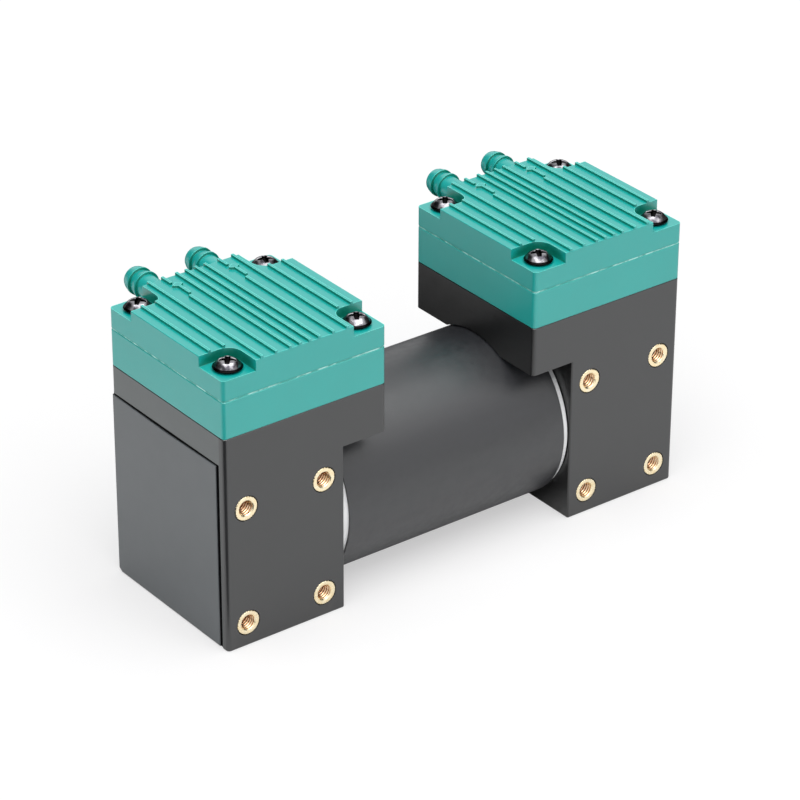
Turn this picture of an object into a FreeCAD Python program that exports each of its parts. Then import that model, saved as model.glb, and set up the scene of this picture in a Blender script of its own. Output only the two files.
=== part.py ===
"""Double-head diaphragm vacuum pump.

A round motor lies between two heads. Each head is a moulded crankcase with an end
panel, a valve plate and a ribbed cover with two hose nozzles. The motor's shaft turns
an eccentric in each crankcase, whose rod works the diaphragm under the valve plate.

X runs along the motor, Y from the threaded inserts (front) to the nozzles (back) and
Z up. The origin is the middle of the pump's box, at its base. Lengths are millimetres.
"""
import FreeCAD, Part
import math
import os

import Sketcher
from FreeCAD import Placement, Rotation, Vector

os.makedirs("parts", exist_ok=True)
doc = FreeCAD.newDocument("DiaphragmPump")

# Driving dimensions

DIMENSIONS = (
    ("head_length", 43.6, "head along the motor"),
    ("head_width", 43.75, "head from front to back"),
    ("head_spacing", 85.6, "between the two head centres"),
    ("block_length", 32.0, "lower block of a crankcase, along the motor"),
    ("overhang_height", 41.7, "underside of the crankcase's overhang above the base"),
    ("crankcase_height", 53.8, "crankcase top above the base"),
    ("corner_radius", 1.0, "upright corners of the head"),
    ("inner_corner_radius", 0.45, "upright corners of the block beside the motor"),
    ("base_edge_radius", 0.4, "lower edges of the crankcase"),
    ("seam_bevel", 0.15, "edges at the joints between the head's parts"),
    ("axis_height", 21.95, "motor axis above the base"),
    ("motor_wall", 4.0, "crankcase wall that the motor is screwed to"),
    ("cavity_radius", 16.0, "round crank chamber in the crankcase"),
    ("slot_width", 8.4, "rod slot, along the motor"),
    ("slot_reach", 26.6, "rod slot, from front to back"),
    ("cup_radius", 14.2, "cup under the diaphragm"),
    ("cup_depth", 7.6, "cup under the diaphragm"),
    ("saddle_gap", 0.4, "between motor sleeve and overhang"),
    ("panel_thickness", 1.6, "end panel"),
    ("panel_gap", 1.15, "joint at the end panel's front edge"),
    ("panel_top_gap", 0.6, "joint at the end panel's top edge"),
    ("panel_top", 7.6, "end panel's top edge below the crankcase's top"),
    ("panel_sag", 0.3, "end panel's top edge lower at its middle"),
    ("panel_seal", 0.4, "rubber sheet behind the end panel"),
    ("panel_seal_step", 0.35, "rubber in the panel's joints below the crankcase's end"),
    ("panel_foot", 0.15, "end panel's lower edge above the base"),
    ("panel_margin", 2.05, "crankcase strip beside the end panel's front edge"),
    ("panel_bevel", 0.15, "bevel round the end panel"),
    ("panel_corner", 1.2, "end panel's cut corner at the back, along the base"),
    ("panel_corner_rise", 0.8, "end panel's cut corner at the back, upwards"),
    ("spigot_depth", 4.0, "ring inside the end panel that plugs the crank chamber"),
    ("spigot_wall", 1.5, "wall of that ring"),
    ("insert_outer", 5.6, "outer pair of inserts from the end face"),
    ("insert_spacing_x", 20.9, "inserts, along the motor"),
    ("insert_low", 5.85, "lower pair of inserts above the base"),
    ("insert_spacing_z", 29.25, "inserts, up the block"),
    ("insert_radius", 3.05, "brass insert"),
    ("insert_bore", 1.65, "brass insert's thread, at its crest"),
    ("insert_length", 6.0, "brass insert"),
    ("valve_plate_thickness", 9.05, "valve plate"),
    ("chamber_radius", 13.6, "pump chamber at the diaphragm"),
    ("chamber_top_radius", 11.4, "pump chamber at its roof"),
    ("chamber_depth", 4.2, "pump chamber"),
    ("well_radius", 5.2, "well that a valve disc works in"),
    ("well_depth", 2.55, "well that a valve disc works in"),
    ("disc_radius", 4.6, "valve disc"),
    ("disc_thickness", 1.0, "valve disc"),
    ("disc_lift", 0.6, "valve disc's travel"),
    ("port_radius", 0.9, "each of the inlet ports under its disc"),
    ("port_circle", 4.2, "radius of the ring of inlet ports"),
    ("outlet_port_radius", 2.2, "outlet port under its disc"),
    ("gasket_thickness", 0.3, "gasket between valve plate and cover"),
    ("gasket_inset", 0.12, "gasket's edge inside the head's sides"),
    ("cover_floor", 4.9, "cover up to the floor of its corner pockets"),
    ("plateau_height", 2.6, "cover's raised middle above the pocket floors"),
    ("pocket_side", 8.8, "corner pocket"),
    ("pocket_radius", 3.4, "corner pocket's inner corner"),
    ("cover_edge_radius", 0.2, "upper edges of the cover"),
    ("rib_width", 0.65, "rib on the cover"),
    ("rib_height", 0.6, "rib on the cover"),
    ("rib_pitch_inner", 2.55, "between the four middle ribs"),
    ("rib_pitch_outer", 3.77, "between the other ribs"),
    ("rib_break_near", 3.6, "rear piece of an interrupted rib"),
    ("rib_break_far", 10.9, "front piece of an interrupted rib, from the back"),
    ("arrow_length", 5.9, "raised flow arrow"),
    ("arrow_head", 1.8, "raised flow arrow's head, along the arrow"),
    ("arrow_barb", 1.1, "raised flow arrow's head beside the shaft"),
    ("arrow_tail_gap", 1.0, "between a flow arrow and the rib in front of it"),
    ("arrow_shift", 0.75, "flow arrows to the right of their ribs' line"),
    ("air_roof", 2.0, "cover's wall above its air spaces"),
    ("seat_gap", 0.3, "between the inlet seat's boss and the wall of its well"),
    ("seat_bore", 2.4, "opening in the inlet seat"),
    ("stop_radius", 3.7, "ring that stops the outlet disc"),
    ("stop_notch", 3.0, "notch through that ring"),
    ("nozzle_spacing", 16.5, "between the two nozzles of a head"),
    ("nozzle_height", 3.85, "nozzle axis above the cover's underside"),
    ("nozzle_bore", 1.6, "radius of a nozzle's bore"),
    ("nozzle_stem", 2.75, "radius of a nozzle's stem"),
    ("nozzle_root", 3.1, "radius of a nozzle's root"),
    ("barb_radius", 3.35, "hose barb's land"),
    ("barb_land", 0.5, "hose barb's land"),
    ("barb_first", 5.35, "first barb's shoulder behind the head"),
    ("barb_pitch", 2.65, "between the barbs' shoulders"),
    ("tip_radius", 3.0, "nozzle's tip"),
    ("tip_round", 0.9, "nozzle's rounded tip"),
    ("nozzle_length", 10.8, "nozzle behind the head"),
    ("cover_screw_inset", 4.65, "cover screws from the head's sides"),
    ("cover_screw_radius", 1.5, "cover screw's thread"),
    ("cover_screw_head", 3.1, "cover screw's head"),
    ("cover_screw_head_height", 2.5, "cover screw's head with its flange"),
    ("cover_screw_flange", 3.5, "flange under the cover screw's head"),
    ("cover_screw_flange_height", 0.35, "flange under the cover screw's head"),
    ("cover_screw_grip", 8.0, "cover screw's thread in the crankcase"),
    ("cross_width", 0.75, "cross recess in a screw head"),
    ("cross_reach", 3.3, "cross recess in a screw head"),
    ("cross_depth", 1.3, "cross recess in a screw head"),
    ("screw_clearance", 0.2, "round a screw in the piece it holds"),
    ("thread_clearance", 0.05, "round a screw or insert in the piece that it grips"),
    ("fit_clearance", 0.02, "round a pressed bore"),
    ("running_clearance", 0.03, "round a turning journal"),
    ("rim_radius", 16.2, "diaphragm's rim"),
    ("rim_clearance", 0.1, "round the diaphragm's rim"),
    ("diaphragm_thickness", 1.6, "diaphragm"),
    ("stroke_half", 2.0, "eccentric's throw"),
    ("clamp_radius", 8.5, "rod's disc and retainer on the diaphragm"),
    ("clamp_thickness", 2.5, "rod's disc under the diaphragm"),
    ("retainer_thickness", 1.7, "retainer on the diaphragm"),
    ("retainer_bevel", 0.5, "retainer's rounded upper edge"),
    ("clamp_screw_radius", 2.0, "diaphragm screw's thread"),
    ("clamp_screw_head", 3.5, "diaphragm screw's countersunk head"),
    ("clamp_screw_reach", 9.0, "diaphragm screw's thread in the rod"),
    ("rod_width", 6.0, "rod, along the motor"),
    ("rod_ring_wall", 1.8, "rod's ring round its bearing"),
    ("rod_foot", 14.0, "rod's shank at its ring"),
    ("rod_neck", 9.0, "rod's shank at its disc"),
    ("rod_web_recess", 1.4, "hollow in each flank of the rod"),
    ("rod_flange", 1.6, "flange beside that hollow"),
    ("rod_bearing_outer", 10.5, "rod bearing's radius"),
    ("rod_bearing_bore", 6.0, "rod bearing's bore radius"),
    ("rod_bearing_width", 5.0, "rod bearing"),
    ("shield_inset", 0.3, "bearing's shields behind its faces"),
    ("ring_wall", 1.2, "bearing's rings beside its shields"),
    ("eccentric_shoulder", 7.2, "eccentric's shoulder radius"),
    ("shoulder_thickness", 1.0, "eccentric's shoulder"),
    ("counterweight_radius", 13.4, "counterweight's rim"),
    ("counterweight_thickness", 5.2, "counterweight"),
    ("counterweight_hub", 6.4, "counterweight's hub radius"),
    ("set_screw_radius", 1.5, "counterweight's set screw"),
    ("socket_radius", 0.85, "hexagon socket in the set screw"),
    ("shaft_radius", 2.5, "motor shaft"),
    ("shaft_bevel", 0.4, "motor shaft's ends"),
    ("sleeve_radius", 21.8, "motor's outer sleeve"),
    ("sleeve_wall", 0.55, "motor's outer sleeve"),
    ("sleeve_end", 1.7, "motor's end face to the sleeve"),
    ("can_wall", 1.5, "motor's steel can"),
    ("cap_step_radius", 19.4, "end cap's step against the crankcase"),
    ("cap_step", 0.25, "end cap's step against the crankcase"),
    ("cap_rim", 3.6, "end cap's rim outside the can"),
    ("cap_plate", 3.0, "end cap's plate"),
    ("cap_spigot", 4.0, "end cap's spigot in the can"),
    ("cap_spigot_wall", 1.6, "end cap's spigot in the can"),
    ("pilot_radius", 8.95, "end cap's pilot in the crankcase"),
    ("pilot_length", 2.4, "end cap's pilot in the crankcase"),
    ("pilot_clearance", 0.05, "round the pilot"),
    ("motor_bearing_radius", 6.5, "motor bearing"),
    ("motor_bearing_width", 4.0, "motor bearing"),
    ("motor_screw_circle", 12.5, "radius of the ring of motor screws"),
    ("motor_screw_radius", 1.5, "motor screw's thread"),
    ("motor_screw_head", 2.7, "motor screw's head"),
    ("motor_screw_head_height", 1.9, "motor screw's head"),
    ("motor_screw_reach", 4.6, "motor screw's thread in the end cap"),
    ("stator_length", 32.0, "stator's stack of laminations"),
    ("stator_yoke", 2.4, "stator's yoke"),
    ("stator_bore", 11.2, "stator's bore radius"),
    ("tooth_width", 3.6, "stator's tooth"),
    ("tooth_shoe", 1.3, "stator's tooth tip"),
    ("slot_mouth", 1.6, "between the stator's tooth tips"),
    ("coil_height", 4.2, "coil beyond the stack's ends"),
    ("coil_gap", 0.3, "between coil and lamination"),
    ("coil_side", 1.5, "coil beside its tooth"),
    ("board_thickness", 1.2, "driver board"),
    ("chip_side", 4.0, "driver board's chips"),
    ("chip_height", 0.9, "driver board's chips"),
    ("magnet_radius", 10.6, "rotor's magnets"),
    ("magnet_thickness", 2.0, "rotor's magnets"),
    ("magnet_gap_angle", 4.0, "angle between two magnets, in degrees"),
)

sheet = doc.addObject("Spreadsheet::Sheet", "Sizes")
for row, (alias, number, note) in enumerate(DIMENSIONS, start=1):
    sheet.set("A%d" % row, note)
    sheet.set("B%d" % row, str(number))
    sheet.setAlias("B%d" % row, alias)
doc.recompute()


class Size:
    """A length with its value and the expression that ties it to the sheet."""

    def __init__(self, value, text):
        self.value = float(value)
        self.text = text

    @staticmethod
    def of(number):
        return number if isinstance(number, Size) else Size(number, repr(float(number)))

    def __add__(self, other):
        other = Size.of(other)
        return Size(self.value + other.value, "(%s + %s)" % (self.text, other.text))

    def __sub__(self, other):
        other = Size.of(other)
        return Size(self.value - other.value, "(%s - %s)" % (self.text, other.text))

    def __mul__(self, other):
        other = Size.of(other)
        return Size(self.value * other.value, "(%s * %s)" % (self.text, other.text))

    def __truediv__(self, other):
        other = Size.of(other)
        return Size(self.value / other.value, "(%s / %s)" % (self.text, other.text))

    def __neg__(self):
        return Size(-self.value, "(-%s)" % self.text)

    def __radd__(self, other):
        return Size.of(other) + self

    def __rsub__(self, other):
        return Size.of(other) - self

    def __rmul__(self, other):
        return Size.of(other) * self


class Sheet:
    """The sheet's cells as sizes, by their aliases."""

    def __getattr__(self, alias):
        return Size(sheet.get(alias), "Sizes." + alias)


s = Sheet()
ZERO = Size(0.0, "0")


def larger(first, second):
    """The larger of two sizes, as the sheet works it out too."""
    text = "(%s > %s ? %s : %s)" % (first.text, second.text, first.text, second.text)
    return Size(max(first.value, second.value), text)


# Places worked out from the driving dimensions

half_length = s.head_length / 2
half_width = s.head_width / 2
front_reach = larger(half_width, s.sleeve_radius)
AXIS_Y = (front_reach - half_width - s.nozzle_length) / 2
HEAD_X = s.head_spacing / 2
face_x = s.block_length - half_length
MOTOR_HALF = HEAD_X - face_x
wall_x = face_x - s.motor_wall
panel_depth = s.panel_thickness + s.panel_seal
panel_height = s.crankcase_height - s.panel_top
diaphragm_z = s.crankcase_height - s.diaphragm_thickness
valve_plate_z = s.crankcase_height
gasket_z = valve_plate_z + s.valve_plate_thickness
cover_z = gasket_z + s.gasket_thickness
plateau_z = s.cover_floor + s.plateau_height
nozzle_x = s.nozzle_spacing / 2
screw_x = half_length - s.cover_screw_inset
screw_y = half_width - s.cover_screw_inset
air_top = plateau_z - s.air_roof
rod_length = diaphragm_z - s.axis_height
shaft_half = HEAD_X + s.rod_bearing_width / 2 + s.counterweight_thickness + 1.0
can_radius = s.sleeve_radius - s.sleeve_wall - s.fit_clearance
can_bore = can_radius - s.can_wall
HEADS = (("left", -1), ("right", 1))
CORNERS = ((-1, -1), (1, -1), (1, 1), (-1, 1))


# Sketches

def place(item, x=ZERO, y=ZERO, z=ZERO, turn=None):
    """Put an object at a place that follows the sheet."""
    if turn is not None:
        item.Placement = Placement(Vector(0, 0, 0), turn)
    for letter, size in (("x", x), ("y", y), ("z", z)):
        item.setExpression("Placement.Base." + letter, size.text)
    return item


def new_body(name):
    body = doc.addObject("PartDesign::Body", name)
    body.Label = name
    return body


def sketch_on(body, name, role, offset=ZERO, shift=ZERO):
    """A sketch on one of the body's own planes, moved along the plane's normal by the
    offset and along the sketch's first direction by the shift."""
    sketch = body.newObject("Sketcher::SketchObject", body.Name + "_" + name)
    plane = [item for item in body.Origin.OriginFeatures if item.Role == role][0]
    sketch.AttachmentSupport = [(plane, "")]
    sketch.MapMode = "FlatFace"
    sketch.setExpression("AttachmentOffset.Base.z", offset.text)
    sketch.setExpression("AttachmentOffset.Base.x", shift.text)
    return sketch


def hold(sketch, geometry, point, x, y):
    """Hold a point of the sketch at its distances from the sketch's origin."""
    for kind, axis, size in (("DistanceX", -2, x), ("DistanceY", -1, y)):
        if size is ZERO:
            sketch.addConstraint(Sketcher.Constraint("PointOnObject", geometry, point, axis))
            continue
        index = sketch.addConstraint(
            Sketcher.Constraint(kind, -1, 1, geometry, point, size.value))
        sketch.setExpression("Constraints[%d]" % index, size.text)


def polygon(sketch, corners):
    """A closed outline of straight lines through the corners."""
    first = sketch.GeometryCount
    count = len(corners)
    points = [Vector(x.value, y.value, 0) for x, y in corners]
    for index in range(count):
        line = Part.LineSegment(points[index], points[(index + 1) % count])
        sketch.addGeometry(line, False)
    for index in range(count):
        sketch.addConstraint(Sketcher.Constraint(
            "Coincident", first + index, 2, first + (index + 1) % count, 1))
    for index, (x, y) in enumerate(corners):
        hold(sketch, first + index, 1, x, y)


def rectangle(sketch, x0, x1, y0, y1):
    polygon(sketch, ((x0, y0), (x1, y0), (x1, y1), (x0, y1)))


def set_radius(sketch, geometry, radius):
    index = sketch.addConstraint(Sketcher.Constraint("Radius", geometry, radius.value))
    sketch.setExpression("Constraints[%d]" % index, radius.text)


def circle(sketch, x, y, radius):
    centre = Vector(x.value, y.value, 0)
    geometry = sketch.addGeometry(Part.Circle(centre, Vector(0, 0, 1), radius.value), False)
    hold(sketch, geometry, 3, x, y)
    set_radius(sketch, geometry, radius)


def rounded_rectangle(sketch, x0, x1, y0, y1, radius):
    """Four arcs about the corners' centres, joined by four tangent lines."""
    first = sketch.GeometryCount
    centres = ((x1 - radius, y0 + radius, 270), (x1 - radius, y1 - radius, 0),
               (x0 + radius, y1 - radius, 90), (x0 + radius, y0 + radius, 180))
    arcs = []
    for x, y, start in centres:
        ring = Part.Circle(Vector(x.value, y.value, 0), Vector(0, 0, 1), radius.value)
        arcs.append(Part.ArcOfCircle(ring, math.radians(start), math.radians(start + 90)))
    for arc in arcs:
        sketch.addGeometry(arc, False)
    for index in range(4):
        line = Part.LineSegment(arcs[index].EndPoint, arcs[(index + 1) % 4].StartPoint)
        sketch.addGeometry(line, False)
    for index, (x, y, start) in enumerate(centres):
        hold(sketch, first + index, 3, x, y)
        set_radius(sketch, first + index, radius)
    for index in range(4):
        line = first + 4 + index
        following = first + (index + 1) % 4
        sketch.addConstraint(Sketcher.Constraint("Tangent", line, 1, first + index, 2))
        sketch.addConstraint(Sketcher.Constraint("Tangent", line, 2, following, 1))


# Features of a body

def extrude(body, kind, name, sketch, length, reverse=False, midplane=False):
    """A pad or a pocket whose length follows the sheet."""
    before = body.Shape.Volume if not body.Shape.isNull() else 0.0
    feature = body.newObject("PartDesign::" + kind, body.Name + "_" + name)
    feature.Profile = sketch
    feature.Type = 0
    feature.Reversed = reverse
    feature.Midplane = midplane
    feature.setExpression("Length", length.text)
    return finish(body, feature, kind == "Pad", before)


def turn(body, kind, name, sketch, axis):
    """A revolution or a groove, right round one of the sketch's axes."""
    before = body.Shape.Volume if not body.Shape.isNull() else 0.0
    feature = body.newObject("PartDesign::" + kind, body.Name + "_" + name)
    feature.Profile = sketch
    feature.ReferenceAxis = (sketch, [axis])
    feature.Angle = 360.0
    return finish(body, feature, kind == "Revolution", before)


def finish(body, feature, adds, before):
    """Recompute the body and see that the feature added or cut."""
    body.Tip = feature
    doc.recompute()
    change = body.Shape.Volume - before
    if (change <= 0) == adds:
        raise RuntimeError("%s changed nothing: %g" % (feature.Name, change))
    return feature


def dress(body, kind, name, size, chosen):
    """A fillet or a chamfer on the edges that the test chooses."""
    edges = body.Tip.Shape.Edges
    names = ["Edge%d" % (index + 1) for index, edge in enumerate(edges) if chosen(edge)]
    if not names:
        raise RuntimeError("%s found no edge" % name)
    base = body.Tip
    feature = body.newObject("PartDesign::" + kind, body.Name + "_" + name)
    feature.Base = (base, names)
    feature.setExpression("Radius" if kind == "Fillet" else "Size", size.text)
    body.Tip = feature
    doc.recompute()
    return feature


def polar(body, name, feature, axis_sketch, axis, count):
    """Copies of a feature round one of the sketch's axes."""
    pattern = body.newObject("PartDesign::PolarPattern", body.Name + "_" + name)
    pattern.Originals = [feature]
    pattern.Axis = (axis_sketch, [axis])
    pattern.Angle = 360.0
    pattern.Occurrences = count
    body.Tip = pattern
    doc.recompute()
    return pattern


def edge_at(edge, direction, **limits):
    """Whether a straight edge runs along a direction and lies where the limits say."""
    if edge.Curve.TypeId != "Part::GeomLine":
        return False
    if abs(abs(edge.Curve.Direction.dot(direction)) - 1) > 1e-6:
        return False
    middle = edge.CenterOfMass
    return all(abs(abs(getattr(middle, key)) - value) < 1e-3 for key, value in limits.items())


UP = Vector(0, 0, 1)
ALONG = Vector(1, 0, 0)
ACROSS = Vector(0, 1, 0)


def mirrored(source, name):
    """The right head's copy of a left piece, mirrored in the pump's middle plane."""
    item = doc.addObject("Part::Mirroring", name)
    item.Label = name
    item.Source = source
    item.Normal = (1, 0, 0)
    item.Base = (0, 0, 0)
    return item


def group(name, items):
    """Several equal solids as one piece."""
    item = doc.addObject("Part::Compound", name)
    item.Label = name
    item.Links = items
    return item


# Crankcase and what is fixed to it

def screw_holes(body, name, radius, plane_z, depth, reverse=False):
    """The four holes for the cover screws, down from a level of the body."""
    sketch = sketch_on(body, name + "_places", "XY_Plane", plane_z)
    for side_x, side_y in CORNERS:
        circle(sketch, side_x * screw_x, side_y * screw_y, radius)
    return extrude(body, "Pocket", name, sketch, depth, reverse)


def make_crankcase(name):
    """Lower block, overhang over the motor, crank chamber, rod slot and diaphragm seat."""
    body = new_body(name)
    side = sketch_on(body, "side_view", "XZ_Plane")
    polygon(side, ((-half_length, ZERO), (face_x, ZERO), (face_x, s.overhang_height),
                   (half_length, s.overhang_height), (half_length, s.crankcase_height),
                   (-half_length, s.crankcase_height)))
    extrude(body, "Pad", "block", side, s.head_width, midplane=True)
    dress(body, "Fillet", "upright_corners", s.corner_radius,
          lambda edge: edge_at(edge, UP, x=half_length.value, y=half_width.value))
    dress(body, "Fillet", "inner_corners", s.inner_corner_radius,
          lambda edge: edge_at(edge, UP, x=face_x.value, y=half_width.value))
    dress(body, "Fillet", "base_edges", s.base_edge_radius,
          lambda edge: abs(edge.BoundBox.ZMax) < 1e-3)
    top = s.crankcase_height.value
    dress(body, "Chamfer", "top_edges", s.seam_bevel,
          lambda edge: abs(edge.BoundBox.ZMin - top) < 1e-3)

    saddle = sketch_on(body, "saddle_round", "YZ_Plane", face_x)
    circle(saddle, ZERO, s.axis_height, s.sleeve_radius + s.saddle_gap)
    extrude(body, "Pocket", "saddle", saddle, s.head_length - s.block_length, True)

    rebate = sketch_on(body, "panel_rebate_outline", "YZ_Plane", -half_length)
    rectangle(rebate, s.panel_margin - half_width, half_width + 1.0,
              -s.panel_gap, panel_height + s.panel_top_gap)
    extrude(body, "Pocket", "panel_rebate", rebate, panel_depth, True)

    chamber = sketch_on(body, "crank_chamber_round", "YZ_Plane", -half_length)
    circle(chamber, ZERO, s.axis_height, s.cavity_radius)
    extrude(body, "Pocket", "crank_chamber", chamber, s.block_length - s.motor_wall, True)

    pilot = sketch_on(body, "pilot_round", "YZ_Plane", wall_x)
    circle(pilot, ZERO, s.axis_height, s.pilot_radius + s.pilot_clearance)
    extrude(body, "Pocket", "pilot_bore", pilot, s.motor_wall, True)

    holes = sketch_on(body, "motor_screw_places", "YZ_Plane", wall_x)
    reach = s.motor_screw_circle * math.sqrt(0.5)
    for side_y, side_z in CORNERS:
        circle(holes, side_y * reach, s.axis_height + side_z * reach,
               s.motor_screw_radius + s.screw_clearance)
    extrude(body, "Pocket", "motor_screw_holes", holes, s.motor_wall, True)

    seat = sketch_on(body, "diaphragm_seat_profile", "XZ_Plane")
    cup_z = s.crankcase_height - s.cup_depth
    rim = s.rim_radius + s.rim_clearance
    polygon(seat, ((ZERO, cup_z), (s.cup_radius, cup_z), (s.cup_radius, diaphragm_z),
                   (rim, diaphragm_z), (rim, s.crankcase_height + 1.0),
                   (ZERO, s.crankcase_height + 1.0)))
    turn(body, "Groove", "diaphragm_seat", seat, "V_Axis")

    slot = sketch_on(body, "rod_slot_outline", "XY_Plane", cup_z + 0.5)
    rounded_rectangle(slot, -(s.slot_width / 2), s.slot_width / 2,
                      -(s.slot_reach / 2), s.slot_reach / 2, s.slot_width / 2 - 0.5)
    extrude(body, "Pocket", "rod_slot", slot, cup_z + 0.5 - s.axis_height)

    screw_holes(body, "cover_screw_holes", s.cover_screw_radius + s.thread_clearance,
                s.crankcase_height, s.cover_screw_grip + 1.0)

    sockets = sketch_on(body, "insert_places", "XZ_Plane", half_width)
    for x, z in insert_places():
        circle(sockets, x, z, s.insert_radius + s.thread_clearance)
    extrude(body, "Pocket", "insert_sockets", sockets, s.insert_length + 1.0)
    return place(body, -HEAD_X, AXIS_Y)


def insert_places():
    """Insert centres on the front face, in the left head's own frame."""
    first = s.insert_outer - half_length
    return [(first + column * s.insert_spacing_x, s.insert_low + level * s.insert_spacing_z)
            for column in (0, 1) for level in (0, 1)]


def make_inserts(name):
    """Four brass threaded inserts, each a sleeve with a groove round its middle."""
    items = []
    for index, (x, z) in enumerate(insert_places()):
        body = new_body("%s_%d" % (name, index + 1))
        profile = sketch_on(body, "profile", "XY_Plane")
        third = s.insert_length / 3
        groove = s.insert_radius - 0.4
        polygon(profile, ((s.insert_bore, ZERO), (s.insert_radius, ZERO),
                          (s.insert_radius, third), (groove, third + 0.3),
                          (groove, 2 * third - 0.3), (s.insert_radius, 2 * third),
                          (s.insert_radius, s.insert_length), (s.insert_bore, s.insert_length)))
        turn(body, "Revolution", "sleeve", profile, "V_Axis")
        items.append(place(body, x - HEAD_X, AXIS_Y - half_width, z))
    return group(name, items)


def make_panel_seal(name):
    """Rubber sheet on the floor of the rebate, open round the crank chamber, with a lip
    that fills the joints at the panel's front and top edges."""
    body = new_body(name)
    outline = sketch_on(body, "outline", "YZ_Plane", s.panel_thickness - half_length)
    rectangle(outline, s.panel_margin + 0.05 - half_width, half_width - 0.1,
              s.panel_foot, panel_height + s.panel_top_gap - 0.05)
    circle(outline, ZERO, s.axis_height, s.cavity_radius)
    extrude(body, "Pad", "sheet", outline, s.panel_seal)
    lip = sketch_on(body, "lip_outline", "YZ_Plane", s.panel_seal_step - half_length)
    rear, front = s.panel_margin + 0.05 - half_width, s.panel_margin + s.panel_gap - 0.05 - half_width
    low, high = panel_height + 0.05, panel_height + s.panel_top_gap - 0.05
    polygon(lip, ((rear, s.panel_foot), (front, s.panel_foot), (front, low),
                  (ZERO, low - s.panel_sag), (half_width - 0.1, low),
                  (half_width - 0.1, high), (rear, high)))
    extrude(body, "Pad", "lip", lip, s.panel_thickness - s.panel_seal_step)
    return place(body, -HEAD_X, AXIS_Y)


def make_end_panel(name):
    """Flat panel in the crankcase's rebate, with a ring that plugs the crank chamber."""
    body = new_body(name)
    outline = sketch_on(body, "outline", "YZ_Plane", -half_length)
    front = s.panel_margin + s.panel_gap - half_width
    polygon(outline, ((front, s.panel_foot), (half_width - s.panel_corner, s.panel_foot),
                      (half_width, s.panel_foot + s.panel_corner_rise),
                      (half_width, panel_height), (ZERO, panel_height - s.panel_sag),
                      (front, panel_height)))
    extrude(body, "Pad", "plate", outline, s.panel_thickness)
    dress(body, "Chamfer", "bevel", s.panel_bevel,
          lambda edge: abs(edge.BoundBox.XMax + half_length.value) < 1e-3)
    ring = sketch_on(body, "ring_round", "YZ_Plane", s.panel_thickness - half_length)
    circle(ring, ZERO, s.axis_height, s.cavity_radius - s.saddle_gap / 2)
    circle(ring, ZERO, s.axis_height, s.cavity_radius - s.saddle_gap / 2 - s.spigot_wall)
    extrude(body, "Pad", "ring", ring, s.spigot_depth - s.panel_thickness)
    return place(body, -HEAD_X, AXIS_Y)


def make_motor_screws(name):
    """Four pan-head screws through the motor wall into the motor's end cap."""
    items = []
    reach = s.motor_screw_circle * math.sqrt(0.5)
    end = s.motor_wall + s.motor_screw_reach
    height = s.motor_screw_head_height
    for index, (side_y, side_z) in enumerate(CORNERS):
        body = new_body("%s_%d" % (name, index + 1))
        profile = sketch_on(body, "profile", "XZ_Plane")
        polygon(profile, ((-height, ZERO), (end, ZERO), (end, s.motor_screw_radius),
                          (ZERO, s.motor_screw_radius), (ZERO, s.motor_screw_head),
                          (-height * 0.6, s.motor_screw_head),
                          (-height, s.motor_screw_head * 0.7)))
        turn(body, "Revolution", "screw", profile, "H_Axis")
        items.append(place(body, wall_x - HEAD_X, AXIS_Y + side_y * reach,
                           s.axis_height + side_z * reach))
    return group(name, items)


# Pump head

def make_valve_plate(name, x):
    """Plate with the pump chamber below, a well for each valve disc above and ports."""
    body = new_body(name)
    outline = sketch_on(body, "outline", "XY_Plane")
    rounded_rectangle(outline, -half_length, half_length, -half_width, half_width, s.corner_radius)
    extrude(body, "Pad", "plate", outline, s.valve_plate_thickness)
    dress(body, "Chamfer", "seam_edges", s.seam_bevel,
          lambda edge: edge.BoundBox.ZLength < 1e-3)

    chamber = sketch_on(body, "chamber_profile", "XZ_Plane")
    polygon(chamber, ((ZERO, ZERO), (s.chamber_radius, ZERO),
                      (s.chamber_top_radius, s.chamber_depth), (ZERO, s.chamber_depth)))
    turn(body, "Groove", "chamber", chamber, "V_Axis")

    wells = sketch_on(body, "well_rounds", "XY_Plane", s.valve_plate_thickness)
    for side in (-1, 1):
        circle(wells, side * nozzle_x, ZERO, s.well_radius)
    extrude(body, "Pocket", "wells", wells, s.well_depth)

    ports = sketch_on(body, "port_rounds", "XY_Plane")
    circle(ports, -nozzle_x, ZERO, s.outlet_port_radius)
    for index in range(5):
        angle = 2 * math.pi * index / 5 + math.pi
        circle(ports, nozzle_x + s.port_circle * math.cos(angle),
               s.port_circle * math.sin(angle), s.port_radius)
    extrude(body, "Pocket", "ports", ports, s.valve_plate_thickness, True)
    screw_holes(body, "screw_holes", s.cover_screw_radius + s.screw_clearance,
                s.valve_plate_thickness, s.valve_plate_thickness)
    return place(body, x, AXIS_Y, valve_plate_z)


def make_gasket(name, x):
    """Thin gasket with holes over the wells and round the screws."""
    body = new_body(name)
    outline = sketch_on(body, "outline", "XY_Plane")
    reach_x = half_length - s.gasket_inset
    reach_y = half_width - s.gasket_inset
    rounded_rectangle(outline, -reach_x, reach_x, -reach_y, reach_y, s.corner_radius)
    for side in (-1, 1):
        circle(outline, side * nozzle_x, ZERO, s.well_radius)
    extrude(body, "Pad", "sheet", outline, s.gasket_thickness)
    screw_holes(body, "screw_holes", s.cover_screw_radius + s.screw_clearance,
                s.gasket_thickness, s.gasket_thickness)
    return place(body, x, AXIS_Y, gasket_z)


def make_disc(name, x):
    """Round rubber valve disc, lying on the floor of its well."""
    body = new_body(name)
    outline = sketch_on(body, "outline", "XY_Plane")
    circle(outline, ZERO, ZERO, s.disc_radius)
    extrude(body, "Pad", "disc", outline, s.disc_thickness)
    return place(body, x, AXIS_Y, gasket_z - s.well_depth)


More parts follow.
